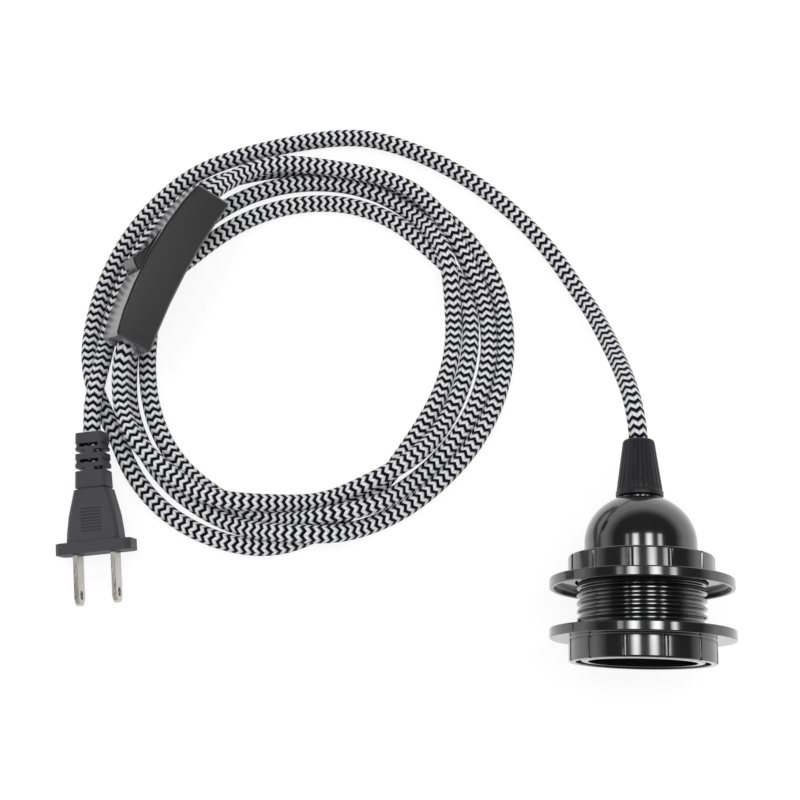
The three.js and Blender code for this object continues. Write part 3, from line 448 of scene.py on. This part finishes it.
def polishedPhenolic():
    look = phenolic
    material, tree, surface = newMaterial(
        "polished phenolic", IOR=1.6, Coat_Weight=1.0, Coat_Roughness=0.05, Coat_IOR=1.6,
    )
    point = add(tree, "TexCoord", out="Object")
    flow = add(tree, "TexNoise", {"Vector": point, "Scale": look["flow"] / mm, "Detail": 3})
    grit = add(tree, "TexNoise", {"Vector": point, "Scale": look["speck"] / mm, "Detail": 1})
    speck = add(tree, "MapRange", (grit, 0.74, 0.8, 0, look["dustShare"]))
    dark, light, dust = (linear(look[key]) for key in ("dark", "light", "dust"))
    ground = add(tree, "Mix", {0: flow, 6: dark, 7: light}, 2, data_type="RGBA")
    swell = add(tree, "TexNoise", {"Vector": point, "Scale": look["swell"] / mm, "Detail": 2})
    height = {"Height": swell, "Distance": look["height"] * mm, "Strength": look["strength"]}
    feed(
        tree, surface, Base_Color=add(tree, "Mix", {0: speck, 6: ground, 7: dust}, 2, data_type="RGBA"),
        Roughness=add(tree, "MapRange", (flow, 0.3, 0.7, *look["rough"])), Normal=add(tree, "Bump", height),
    )
    return material


# Moulded plastic: one colour with a cloudy shade, a roughness and a fine grain. A coat gives the skin
# of a smoothly polished mould.
moulded = {
    "cloud": 0.05, "grainShare": 0.4, "smoother": 0.05, "rougher": 0.06, "coatRough": 0.13, "strength": 0.6,
}


def mouldedPlastic(name, dark, light, rough, grain, grainHeight, specular=0.5, coat=0.0):
    look = moulded
    material, tree, surface = newMaterial(
        name, Specular_IOR_Level=specular, Coat_Weight=coat, Coat_Roughness=look["coatRough"],
    )
    point = add(tree, "TexCoord", out="Object")
    cloud = add(tree, "TexNoise", {"Vector": point, "Scale": look["cloud"] / mm, "Detail": 3})
    fine = add(tree, "TexNoise", {"Vector": point, "Scale": grain / mm, "Detail": 2})
    both = add(tree, "Math", (fine, look["grainShare"], cloud), operation="MULTIPLY_ADD")
    share = add(tree, "MapRange", (both, 0.4, 1.0, 0, 1))
    height = {"Height": fine, "Distance": grainHeight * mm, "Strength": look["strength"]}
    least, most = rough - look["smoother"], rough + look["rougher"]
    feed(
        tree, surface,
        Base_Color=add(tree, "Mix", {0: share, 6: linear(dark), 7: linear(light)}, 2, data_type="RGBA"),
        Roughness=add(tree, "MapRange", (cloud, 0.3, 0.7, least, most)), Normal=add(tree, "Bump", height),
    )
    return material


# Plated or turned metal: bright, with cloudy colour and fine draw lines, ten times as long as they are
# wide, that vary the roughness.
drawn = {
    "cloud": 0.2, "line": 0.5, "stretch": (6, 0.6, 6), "smoother": 0.06, "rougher": 0.08, "height": 0.01,
    "strength": 0.3,
}


def metal(name, colour, shade, rough):
    look = drawn
    material, tree, surface = newMaterial(name, Metallic=1.0)
    point = add(tree, "TexCoord", out="Object")
    cloud = add(tree, "TexNoise", {"Vector": point, "Scale": look["cloud"] / mm, "Detail": 4})
    pulled = add(tree, "Mapping", {"Vector": point, "Scale": look["stretch"]})
    line = add(tree, "TexNoise", {"Vector": pulled, "Scale": look["line"] / mm, "Detail": 2})
    height = {"Height": line, "Distance": look["height"] * mm, "Strength": look["strength"]}
    least, most = rough - look["smoother"], rough + look["rougher"]
    feed(
        tree, surface,
        Base_Color=add(tree, "Mix", {0: cloud, 6: linear(colour), 7: linear(shade)}, 2, data_type="RGBA"),
        Roughness=add(tree, "MapRange", (line, 0.25, 0.75, least, most)), Normal=add(tree, "Bump", height),
    )
    return material


# Glazed porcelain: off white, with small dark firing specks under a clear glaze.
porcelain = {
    "light": "f0ede6", "dark": "dedad0", "fired": "8a8378", "firedShare": 0.6, "rough": (0.25, 0.4),
    "cloud": 0.08, "speck": 1.4, "height": 0.03, "strength": 0.3,
}


def glazedPorcelain():
    look = porcelain
    material, tree, surface = newMaterial("glazed porcelain", Coat_Weight=0.5, Coat_Roughness=0.08)
    point = add(tree, "TexCoord", out="Object")
    grit = add(tree, "TexNoise", {"Vector": point, "Scale": look["speck"] / mm, "Detail": 1})
    cloud = add(tree, "TexNoise", {"Vector": point, "Scale": look["cloud"] / mm, "Detail": 2})
    speck = add(tree, "MapRange", (grit, 0.72, 0.78, 0, look["firedShare"]))
    light, dark, fired = (linear(look[key]) for key in ("light", "dark", "fired"))
    ground = add(tree, "Mix", {0: cloud, 6: light, 7: dark}, 2, data_type="RGBA")
    height = {"Height": cloud, "Distance": look["height"] * mm, "Strength": look["strength"]}
    feed(
        tree, surface,
        Base_Color=add(tree, "Mix", {0: speck, 6: ground, 7: fired}, 2, data_type="RGBA"),
        Roughness=add(tree, "MapRange", (cloud, 0.3, 0.7, *look["rough"])), Normal=add(tree, "Bump", height),
    )
    return material


# Woven cotton sleeve: plaits of black and white yarn alternate along the cord, one pair to a period
# (mm), and lean to and fro by a length (mm) in the columns round it, so that the bands zigzag. Each
# plait is a rounded float with fine fibres, and its colour is darkened towards its edges as painted
# shade in the grooves between floats. Along the cord the columns turn by a slow twist.
braid = {
    "columns": 12, "period": 2.78, "lean": 1.15, "black": 0.49, "twist": 0.004, "wobble": 0.5,
    "wobbleScale": 0.12, "blurFrom": 0.02, "blurTo": 0.09, "frayed": 0.1, "whites": ("cdcdd1", "f8f8fa"),
    "blacks": ("020203", "121214"), "fibre": (1.6, 9.0), "fibreScale": 1.3, "fibreHeight": 0.25,
    "height": 0.28, "strength": 0.8,
}


def cottonBraid():
    look = braid
    material, tree, surface = newMaterial(
        "cotton braid", Roughness=0.9, Sheen_Weight=0.06, Specular_IOR_Level=0.25,
    )
    parts = add(tree, "SeparateXYZ", (add(tree, "UVMap", uv_map="lay"),), out=None)
    along = parts.outputs["Y"]
    point = add(tree, "TexCoord", out="Object")
    drift = add(tree, "TexNoise", {"Vector": point, "Scale": look["wobbleScale"] / mm, "Detail": 1})
    wobble = add(tree, "Math", (drift, look["wobble"], -0.5 * look["wobble"]), operation="MULTIPLY_ADD")
    turns = (along, look["twist"] / look["columns"], parts.outputs["X"])
    turnShare = add(tree, "Math", turns, operation="MULTIPLY_ADD")
    column = add(tree, "Math", (turnShare, float(look["columns"])), operation="MULTIPLY")
    # band = (along + lean * zigzag(column) + wobble) / period; its fraction tells black from white
    zigzag = add(tree, "Math", (column, 1.0), operation="PINGPONG")
    leaning = add(tree, "Math", (zigzag, look["lean"], along), operation="MULTIPLY_ADD")
    length = add(tree, "Math", (leaning, wobble), operation="ADD")
    band = add(tree, "Math", (length, look["period"]), operation="DIVIDE")
    inBand = add(tree, "Math", (band,), operation="FRACT")
    # height of a float: a hump across each half band, pinched at the edges of its column
    twice = add(tree, "Math", (band, 2.0, 0.08), operation="MULTIPLY_ADD")
    half = add(tree, "Math", (twice, 0.5), operation="PINGPONG")
    across = add(tree, "Math", (column, 0.5), operation="PINGPONG")
    doubled = [add(tree, "Math", (value, 2.0), operation="MULTIPLY") for value in (half, across)]
    hump = add(tree, "Math", (doubled[0], 0.55), operation="POWER")
    pinch = add(tree, "Math", (doubled[1], 0.35), operation="POWER")
    height = add(tree, "Math", (hump, pinch), operation="MULTIPLY")
    lengths = zip((column, band), look["fibre"])
    strands = [add(tree, "Math", (value, times), operation="MULTIPLY") for value, times in lengths]
    spun = add(tree, "CombineXYZ", strands)
    fibre = add(tree, "TexNoise", {"Vector": spun, "Scale": look["fibreScale"], "Detail": 3.0})
    # white where the fraction is further from the middle of the black part than half its width
    middle = 0.5 * look["black"] + look["blurFrom"]
    fromMiddle = add(tree, "Math", (inBand, middle), operation="SUBTRACT")
    away = add(tree, "Math", (fromMiddle,), operation="ABSOLUTE")
    edge = add(tree, "Math", (fibre, look["frayed"], away), operation="MULTIPLY_ADD")
    white = add(tree, "MapRange", (edge, middle, 0.5 * look["black"] + look["blurTo"], 0, 1))
    whiteYarn, blackYarn = (
        add(tree, "Mix", {0: fibre, 6: linear(dark), 7: linear(light)}, 2, data_type="RGBA")
        for dark, light in (look["whites"], look["blacks"])
    )
    yarn = add(tree, "Mix", {0: white, 6: blackYarn, 7: whiteYarn}, 2, data_type="RGBA")
    # painted shade: the yarn's colour is darkened by up to 40% where a float is low, in the grooves between
    # floats and at the edges of its column
    shade = add(tree, "MapRange", (height, 0.0, 0.6, 0.6, 1.0))
    paintedGrooveShade = add(tree, "CombineColor", (shade, shade, shade))
    paintedShadeMix = {0: 1.0, 6: yarn, 7: paintedGrooveShade}
    relief = add(tree, "Math", (fibre, look["fibreHeight"], height), operation="MULTIPLY_ADD")
    bumps = {"Height": relief, "Distance": look["height"] * mm, "Strength": look["strength"]}
    feed(
        tree, surface, Base_Color=add(tree, "Mix", paintedShadeMix, 2, data_type="RGBA", blend_type="MULTIPLY"),
        Normal=add(tree, "Bump", bumps),
    )
    return material


finish = {
    "phenolic": polishedPhenolic(),
    # nylon: dark grey and half matt
    "dark_nylon": mouldedPlastic("moulded nylon", "1e1e20", "2b2b2e", 0.38, 1.6, 0.02, 0.4),
    "porcelain": glazedPorcelain(),
    # metals: nickel is warm and bright, brass yellow, zinc a cool grey
    "nickel": metal("nickel plate", "d6d4cd", "bdbbb4", 0.22),
    "brass": metal("stamped brass", "c9a456", "a8843f", 0.32),
    "steel": metal("zinc plated steel", "b9bbbf", "9a9ca0", 0.32),
    # the switch: satin black with a soft mirror over it, and a glossier rocker
    "switch_plastic": mouldedPlastic("satin switch moulding", "1e1e20", "272729", 0.34, 2.2, 0.01, 0.5, 0.8),
    "glossy_plastic": mouldedPlastic("polished rocker moulding", "0a0a0c", "121214", 0.14, 0.4, 0.006),
    # soft vinyl: dark grey and matt, so that it shows its form without highlights
    "plug_vinyl": mouldedPlastic("soft vinyl moulding", "3b3b3e", "464649", 0.46, 1.8, 0.025, 0.3),
    "white_wire": mouldedPlastic("white wire insulation", "dcdcda", "f0f0ee", 0.45, 0.8, 0.01),
    "black_wire": mouldedPlastic("black wire insulation", "161617", "222224", 0.45, 0.8, 0.01),
    "cord_braid": cottonBraid(),
}
print("materials made")


def wear(piece, slotName):
    piece.data.materials.clear()
    piece.data.materials.append(finish[slotName])


def dress(piece, slotName, body):
    wear(piece, slotName)
    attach(piece, body)


# what the CAD's own nodes wear
wears = {
    "dark_nylon": ["grip_collet"],
    "porcelain": ["socket_insert"],
    "nickel": ["screw_shell", "plug_blade_left", "plug_blade_right"],
    "brass": [
        "centre_contact", "shell_terminal", "centre_terminal", "fulcrum_terminal", "fixed_contact",
        "neutral_link", "contact_bridge", "rocker_plunger",
    ],
    "steel": [
        "nipple_locknut", "threaded_nipple", "shell_terminal_screw", "centre_terminal_screw", "rocker_pin",
        "housing_screw_1", "housing_screw_2", "plunger_spring",
    ],
    "white_wire": ["shell_conductor"],
    "black_wire": ["centre_conductor"],
}
for slotName, names in wears.items():
    for name in names:
        wear(nodes[name], slotName)


# ---- lamp holder: its sizes in mm; heights run along its axis from the mouth
holder = {
    "middle": 35.425, "axis": 28.53, "crest": 20.0, "depth": 0.95, "pitch": 2.5, "threadFrom": 1.9,
    "threadTo": 31.0, "foot": 0.5, "top": 32.6, "bore": 16.4, "ledgeAt": 21.6, "ledge": 1.6,
    "ledgeBore": 14.5, "columns": 144, "rowStep": 0.115, "firstRow": 0.6, "lastRow": 0.3, "runOut": 3,
    "flatter": 0.56, "sharp": 50,
}


# From the holder's own axes (x, y, height along it) to the shared frame.
def stood(points):
    x, y, h = points[..., 0], points[..., 1], points[..., 2]
    return np.stack([x, h - holder["middle"], holder["axis"] - y], -1)


# Rounds the corners of a closed outline: each corner becomes a short curve (quadratic Bezier) between
# two points set back from it, with one more point just before and after, so that the flats stay flat.
rounding = {"most": 0.42, "lead": 1.12, "leadMore": 0.02}


def rounded(outline, setback, steps=4):
    outline = np.asarray(outline, float)
    setback = np.broadcast_to(np.asarray(setback, float), (len(outline),))
    before, after = np.roll(outline, 1, 0) - outline, np.roll(outline, -1, 0) - outline
    lengthB, lengthA = np.linalg.norm(before, axis=1), np.linalg.norm(after, axis=1)
    cut = np.minimum(setback, rounding["most"] * np.minimum(lengthA, lengthB))
    lead = rounding["lead"] * cut + rounding["leadMore"]
    pointB = outline + before / lengthB[:, None] * cut[:, None]
    pointA = outline + after / lengthA[:, None] * cut[:, None]
    t = np.linspace(0, 1, steps + 1)[None, :, None]
    bends = (1 - t) ** 2 * pointB[:, None] + 2 * t * (1 - t) * outline[:, None] + t**2 * pointA[:, None]
    leadB = outline + before / lengthB[:, None] * lead[:, None]
    leadA = outline + after / lengthA[:, None] * lead[:, None]
    return np.concatenate([leadB[:, None], bends, leadA[:, None]], 1).reshape(-1, 2)


# Profile points (radius, height) turned round the axis at the given angles.
def lathe(profile, angle, radius=None):
    r = profile[:, 0][:, None] if radius is None else radius
    h = np.broadcast_to(profile[:, 1][:, None], (len(profile), len(angle)))
    return np.stack([r * np.cos(angle)[None], r * np.sin(angle)[None], h], -1)


# Skins a turned piece's points, puts it in the place of its node and dresses it.
def turnedPiece(name, points, sharp, cadNode, slotName, body):
    piece = skin(name, stood(points), ring=True, sharp=sharp)
    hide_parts(cadNode)
    dress(piece, slotName, body)


# Sleeve: the wall is a closed profile turned round the axis. On the outside the radius rises from the
# root by a ridge along a helix, a cosine wave flattened at crest and root, that runs out at both ends.
def sleevePiece():
    s = holder
    root = s["crest"] - s["depth"]
    ledgeTop = s["ledgeAt"] + s["ledge"]
    heights = np.arange(s["foot"] + s["firstRow"], s["top"] - s["lastRow"], s["rowStep"])
    outside = np.stack([np.full_like(heights, root), heights], 1)
    foot = [(s["bore"], s["foot"]), (root - 0.5, s["foot"]), (root, s["foot"] + 0.5)]
    foot = rounded(foot, (0.4, 0.3, 0.3))[:-1]
    inside = rounded([
        (root, s["top"]), (s["bore"], s["top"]), (s["bore"], ledgeTop), (s["ledgeBore"], ledgeTop),
        (s["ledgeBore"], s["ledgeAt"]), (s["bore"], s["ledgeAt"]),
    ], 0.25, steps=2)
    profile = np.vstack([foot, outside, inside])
    angle = evenAngles(s["columns"])
    h = profile[:, 1][:, None]
    turnsUp = (h - s["threadFrom"]) / s["pitch"] - angle[None] / (2 * np.pi)
    offset = np.abs(turnsUp - np.round(turnsUp)) * s["pitch"]
    whole = np.round(turnsUp) + angle[None] / (2 * np.pi)
    last = (s["threadTo"] - s["threadFrom"]) / s["pitch"]
    runOut = np.clip(np.minimum(whole, last - whole) * s["runOut"] + 0.1, 0, 1)
    ridge = np.clip(0.5 + s["flatter"] * np.cos(2 * np.pi * offset / s["pitch"]), 0, 1)
    ridge = ridge * ridge * (3 - 2 * ridge)
    row = np.arange(len(profile))
    onOutside = (row >= len(foot)) & (row < len(foot) + len(outside))
    radius = profile[:, 0][:, None] + np.where(onOutside[:, None], s["depth"] * ridge * runOut, 0)
    points = lathe(profile, angle, radius)
    turnedPiece("threaded_sleeve_turned", points, s["sharp"], "threaded_sleeve", "phenolic", "set")


# Shade ring: flange, turned-down rim, thin web and nut, with flat-floored grooves pressed into the nut's
# side by taking their depth off the radius near each groove's angle. The angles stand close at a
# groove's edges and even between two grooves.
shadeRings = {
    "rim": 28.5, "nut": 22.6, "bore": 20.45, "band": 3.1, "web": 1.1, "lip": 1.3, "height": 10.1,
    "grooves": 12, "grooveDepth": 0.45, "grooveHalf": 0.7, "grooveSide": 2.4, "between": 10, "sharp": 40,
}
acrossGroove = [-1.3, -1.05, -0.95, -0.65, -0.5, 0, 0.5, 0.65, 0.95, 1.05, 1.3]  # in half widths


# turn and tilt (degrees) and face (height of its first face) place the ring; up tells which way it looks.
def ringPiece(name, cadNode, up, turn, tilt, face):
    r = shadeRings
    webFoot = r["band"] - r["web"]
    outline = [
        (r["bore"], webFoot), (r["rim"] - r["lip"] - 0.15, webFoot), (r["rim"] - r["lip"], 0), (r["rim"], 0),
        (r["rim"], r["band"]), (r["nut"], r["band"]), (r["nut"], r["height"]), (r["bore"], r["height"]),
    ]
    profile = rounded(outline, (0.15, 0.5, 0.35, 0.35, 0.4, 0.25, 0.6, 0.3))
    sector = 2 * np.pi / r["grooves"]
    near = np.array(acrossGroove) * r["grooveHalf"] / r["nut"]
    one = np.concatenate([near, np.linspace(near[-1], sector + near[0], r["between"])[1:-1]])
    angle = (np.arange(r["grooves"])[:, None] * sector + one[None]).reshape(-1)
    fromGroove = np.abs((angle + sector / 2) % sector - sector / 2) * r["nut"] / r["grooveHalf"]
    groove = r["grooveDepth"] * np.clip(r["grooveSide"] * (1 - fromGroove), 0, 1)
    out, height = profile[:, 0], profile[:, 1]
    onNut = (out > r["nut"] - 0.75) & (out < r["nut"] + 0.01) & (height > r["band"] + 0.3)
    points = lathe(profile, angle, out[:, None] - onNut.astype(float)[:, None] * groove[None])
    if not up:
        points = points * (1, -1, -1)
    spin, lean = np.radians(90 + turn), np.radians(-tilt)
    x, y, h = points[..., 0], points[..., 1], points[..., 2]
    x, y = x * np.cos(spin) - y * np.sin(spin), x * np.sin(spin) + y * np.cos(spin)
    y, h = y * np.cos(lean) - h * np.sin(lean), y * np.sin(lean) + h * np.cos(lean)
    points = np.stack([x, y, h + face], -1)
    turnedPiece(name, points, r["sharp"], cadNode, "phenolic", cadNode)


# Dome: outside a half ellipse on a short straight wall, with a step and collar on top; inside the same
# form a wall's thickness smaller, up to a ceiling of the given radius.
domeCap = {
    "radius": 17.5, "foot": 32.9, "straight": 4.3, "crown": 15.8, "top": 8.8, "collar": 7.1,
    "collarHeight": 1.1, "wall": 2.2, "ceiling": 9.0, "bore": 5.3, "columns": 128, "outerRows": 40,
    "innerRows": 24, "sharp": 40,
}


def domePiece():
    d = domeCap
    radius, foot, top, collar, bore = d["radius"], d["foot"], d["top"], d["collar"], d["bore"]
    innerRadius, innerCrown = radius - d["wall"], d["crown"] - d["wall"]
    centre = foot + d["straight"]
    t = np.linspace(0, np.arccos(top / radius), d["outerRows"])
    outside = np.stack([radius * np.cos(t), centre + d["crown"] * np.sin(t)], 1)
    edge = outside[-1, 1]
    end = edge + d["collarHeight"]
    neck = [
        (top - 0.25, edge + 0.12), (top - 0.9, edge + 0.1), (collar + 0.2, edge + 0.25),
        (collar, edge + 0.45), (collar, end - 0.25), (collar - 0.25, end), (bore, end),
    ]
    t = np.linspace(np.arccos(d["ceiling"] / innerRadius), 0, d["innerRows"])
    inside = np.stack([innerRadius * np.cos(t), centre + innerCrown * np.sin(t)], 1)
    rim = [
        (innerRadius, foot + 0.1), (innerRadius + 0.1, foot), (radius - 0.3, foot),
        (radius - 0.06, foot + 0.08), (radius, foot + 0.3), (radius, foot + 0.5),
    ]
    profile = np.vstack([rim, outside, neck, [(bore, inside[0, 1])], inside])
    points = lathe(profile, evenAngles(d["columns"]))
    turnedPiece("dome_cap_turned", points, d["sharp"], "dome_cap", "phenolic", "set")


# Cord grip: a cone whose radius dips in narrow flutes, on a plain skirt, its top rounded over. A row is
# (radius, height over the foot, share of the flutes' depth).
gripNut = {
    "foot": 52.24, "length": 18.6, "base": 7.5, "top": 5.0, "skirt": 1.7, "flutes": 26, "depth": 0.3,
    "bore": 3.3, "innerBore": 5.3, "coneRows": 12, "perFlute": 8, "narrow": 0.7, "sharp": 40,
}


def gripPiece():
    g = gripNut
    base, top, skirt, end, bore = g["base"], g["top"], g["skirt"], g["length"], g["bore"]
    rise = np.linspace(skirt + 0.5, end - 1.2, g["coneRows"])
    cone = base - 0.3 + (top + 0.1 - base + 0.3) * (rise - rise[0]) / (rise[-1] - rise[0])
    rows = [
        (g["innerBore"], 0, 0), (base - 0.25, 0, 0), (base - 0.05, 0.08, 0), (base, 0.3, 0),
        (base, skirt - 0.25, 0), (base - 0.08, skirt - 0.05, 0), (base - 0.3, skirt + 0.05, 0),
        (base - 0.34, skirt + 0.2, 0.3), *((r, h, 1) for r, h in zip(cone, rise)),
        (top + 0.02, end - 0.8, 0.9), (top - 0.18, end - 0.4, 0.6), (top - 0.5, end - 0.12, 0.25),
        (top - 0.95, end, 0), (bore + 0.3, end, 0), (bore, end - 0.25, 0), (bore, end - 4, 0),
        (g["innerBore"], end - 8, 0),
    ]
    out, height, fluted = np.array(rows, float).T
    angle = evenAngles(g["flutes"] * g["perFlute"])
    flute = np.clip(1 - np.abs(((angle * g["flutes"] / (2 * np.pi)) % 1) - 0.5) * 4, 0, 1) ** g["narrow"]
    radius = out[:, None] - g["depth"] * fluted[:, None] * flute[None]
    points = lathe(np.stack([out, height + g["foot"]], 1), angle, radius)
    turnedPiece("cord_grip_turned", points, g["sharp"], "cord_grip_nut", "dark_nylon", "set")


sleevePiece()
ringPiece("lower_ring_turned", "lower_shade_ring", up=False, turn=7, tilt=0.5, face=10.297)
ringPiece("upper_ring_turned", "upper_shade_ring", up=True, turn=12, tilt=1.2, face=22.697)
domePiece()
gripPiece()
print("lamp holder turned")

# How edges are eased: segments of the bevel, points this close (mm) are one, flat joins under the first
# angle are dissolved, edges over the second are eased, those still over the third stay sharp (degrees),
# and large faces lead the shading by a weight (1 to 100).
easing = {"segments": 3, "within": 0.02, "flatUnder": 1, "easeOver": 28, "sharpOver": 40, "weight": 100}


# Puts what the modifiers of a piece make in the place of its mesh.
def bakeModifiers(piece):
    graph = bpy.context.evaluated_depsgraph_get()
    done = bpy.data.meshes.new_from_object(piece.evaluated_get(graph))
    done.name = piece.name
    piece.modifiers.clear()
    piece.data = done


# A node's solid with its loose triangles joined and its edges eased by a small bevel. The shading is
# then weighted by the area of the faces, so that the flat faces stay flat up to their eased edges.
def eased(cadNode, width, slotName, body):
    data = nodes[cadNode].data.copy()
    piece = bpy.data.objects.new(cadNode + "_eased", data)
    bpy.context.scene.collection.objects.link(piece)
    weld = piece.modifiers.new("weld", "WELD")
    weld.merge_threshold = easing["within"] * mm
    flat = piece.modifiers.new("flat", "DECIMATE")
    flat.decimate_type = "DISSOLVE"
    flat.angle_limit = math.radians(easing["flatUnder"])
    ease = piece.modifiers.new("ease", "BEVEL")
    ease.width = width * mm
    ease.segments = easing["segments"]
    ease.limit_method = "ANGLE"
    ease.angle_limit = math.radians(easing["easeOver"])
    data.polygons.foreach_set("use_smooth", np.ones(len(data.polygons), bool))
    bakeModifiers(piece)
    piece.data.set_sharp_from_angle(angle=math.radians(easing["sharpOver"]))
    weigh = piece.modifiers.new("weigh", "WEIGHTED_NORMAL")
    weigh.weight = easing["weight"]
    weigh.keep_sharp = True
    bakeModifiers(piece)
    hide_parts(cadNode)
    dress(piece, slotName, body)
    return piece


coverPiece = eased("switch_cover", 0.45, "switch_plastic", "set")
basePiece = eased("switch_base", 0.3, "switch_plastic", "set")
rockerPiece = eased("switch_rocker", 0.25, "glossy_plastic", "rocker")
plugPiece = eased("plug_body", 0.22, "plug_vinyl", "set")
print("switch and plug eased")

# ---- the cords ride with the set, and the CAD's cord nodes are hidden
dress(firstCord, "cord_braid", "set")
dress(secondCord, "cord_braid", "set")
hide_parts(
    "cord_from_holder", "cord_into_switch", "cord_coil", "holder_cord_end", "switch_cord_end_in",
)
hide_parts("cord_out_of_switch", "cord_to_plug", "switch_cord_end_out", "plug_cord_end")

# ---- floor, light and backdrop
# The floor is white paper that glows for the camera and in mirrors by a share of each, and takes the
# shadows for the rest. Its half width and height are in m.
studio = {
    "floorWhite": 0.82, "seenWhite": 1.1, "seenShare": 0.78, "mirroredShare": 0.4, "half": 3,
    "height": -0.0002, "fill": 0.78, "ceiling": 0.1, "skyline": 0.05, "ceilingFrom": 0.42,
}


def makeFloor():
    half, white = studio["half"], studio["floorWhite"]
    corners = [(x * half, y * half, studio["height"]) for x, y in ((-1, -1), (1, -1), (1, 1), (-1, 1))]
    data = bpy.data.meshes.new("floor")
    data.from_pydata(corners, [], [(0, 1, 2, 3)])
    floor = bpy.data.objects.new("floor", data)
    bpy.context.scene.collection.objects.link(floor)
    material, tree, surface = newMaterial(
        "white paper", Roughness=0.9, Base_Color=(white, white, white, 1), Specular_IOR_Level=0.0,
    )
    ray = add(tree, "LightPath", out=None).outputs
    seen = add(tree, "Math", (ray["Is Camera Ray"], studio["seenShare"]), operation="MULTIPLY")
    mirrored = add(tree, "Math", (ray["Is Glossy Ray"], studio["mirroredShare"]), operation="MULTIPLY")
    share = add(tree, "Math", (seen, mirrored), operation="MAXIMUM")
    glow = add(tree, "Emission", ((1, 1, 1, 1), studio["seenWhite"]))
    both = add(tree, "MixShader", (share, surface.outputs[0], glow))
    tree.links.new(both, tree.nodes["Material Output"].inputs["Surface"])
    data.materials.append(material)


# World: white where it is seen, darker overhead where it is only mirrored, and an even fill elsewhere.
def makeWorld():
    world = bpy.data.worlds.new("studio")
    bpy.context.scene.world = world
    world.use_nodes = True
    tree = world.node_tree
    ray = add(tree, "LightPath", out=None).outputs
    looked = add(tree, "TexCoord", out="Generated")
    up = add(tree, "SeparateXYZ", (looked,), out="Z")
    mirrored = add(tree, "MapRange", (up, studio["skyline"], studio["ceilingFrom"], 1.0, studio["ceiling"]))
    mirror = add(tree, "Math", (ray["Is Glossy Ray"], ray["Is Transmission Ray"]), operation="MAXIMUM")
    inMirror = add(tree, "Math", (mirror, mirrored), operation="MULTIPLY")
    level = add(tree, "Math", (ray["Is Camera Ray"], inMirror), operation="MAXIMUM")
    direct = add(tree, "Math", (ray["Is Camera Ray"], mirror), operation="MAXIMUM")
    other = add(tree, "Math", (1.0, direct), operation="SUBTRACT")
    total = add(tree, "Math", (other, studio["fill"], level), operation="MULTIPLY_ADD")
    background = tree.nodes["Background"]
    background.inputs["Color"].default_value = (1, 1, 1, 1)
    tree.links.new(total, background.inputs["Strength"])


# The soft boxes: where each stands (m), its two sides and its power, and what all look at. The cloth is
# brightest in the middle and falls off as half a sine wave towards each edge.
lampAim = (0, 0, 0.03)
lamps = [
    {"at": (0.12, 0.13, 1.05), "size": (0.30, 0.30), "power": 3.2},
    {"at": (-0.375, 0.13, 1.05), "size": (0.30, 0.30), "power": 3.2},
    {"at": (0.53, 0.13, 1.0), "size": (0.22, 0.30), "power": 1.6},
    {"at": (-0.72, 0.13, 1.0), "size": (0.20, 0.30), "power": 0.6},
]


def makeLamps():
    for k, lamp in enumerate(lamps):
        data = bpy.data.lights.new(f"softbox{k}", "AREA")
        data.shape = "RECTANGLE"
        data.size, data.size_y = lamp["size"]
        data.energy = lamp["power"]
        data.use_nodes = True
        tree = data.node_tree
        over = add(tree, "SeparateXYZ", (add(tree, "NewGeometry", out="Parametric"),), out=None).outputs
        angles = [add(tree, "Math", (over[axis], math.pi), operation="MULTIPLY") for axis in ("X", "Y")]
        waves = [add(tree, "Math", (angle,), operation="SINE") for angle in angles]
        cloth = add(tree, "Math", waves, operation="MULTIPLY")
        tree.links.new(cloth, tree.nodes["Emission"].inputs["Strength"])
        back = np.array(lamp["at"]) - np.array(lampAim)
        back = back / np.linalg.norm(back)
        right = np.cross((0, 1, 0), back)
        right /= np.linalg.norm(right)
        box = bpy.data.objects.new(f"softbox{k}", data)
        placed(box, right, np.cross(back, right), back, lamp["at"])


makeFloor()
makeWorld()
makeLamps()
bpy.context.scene.view_settings.view_transform = "Standard"
print("studio lit")
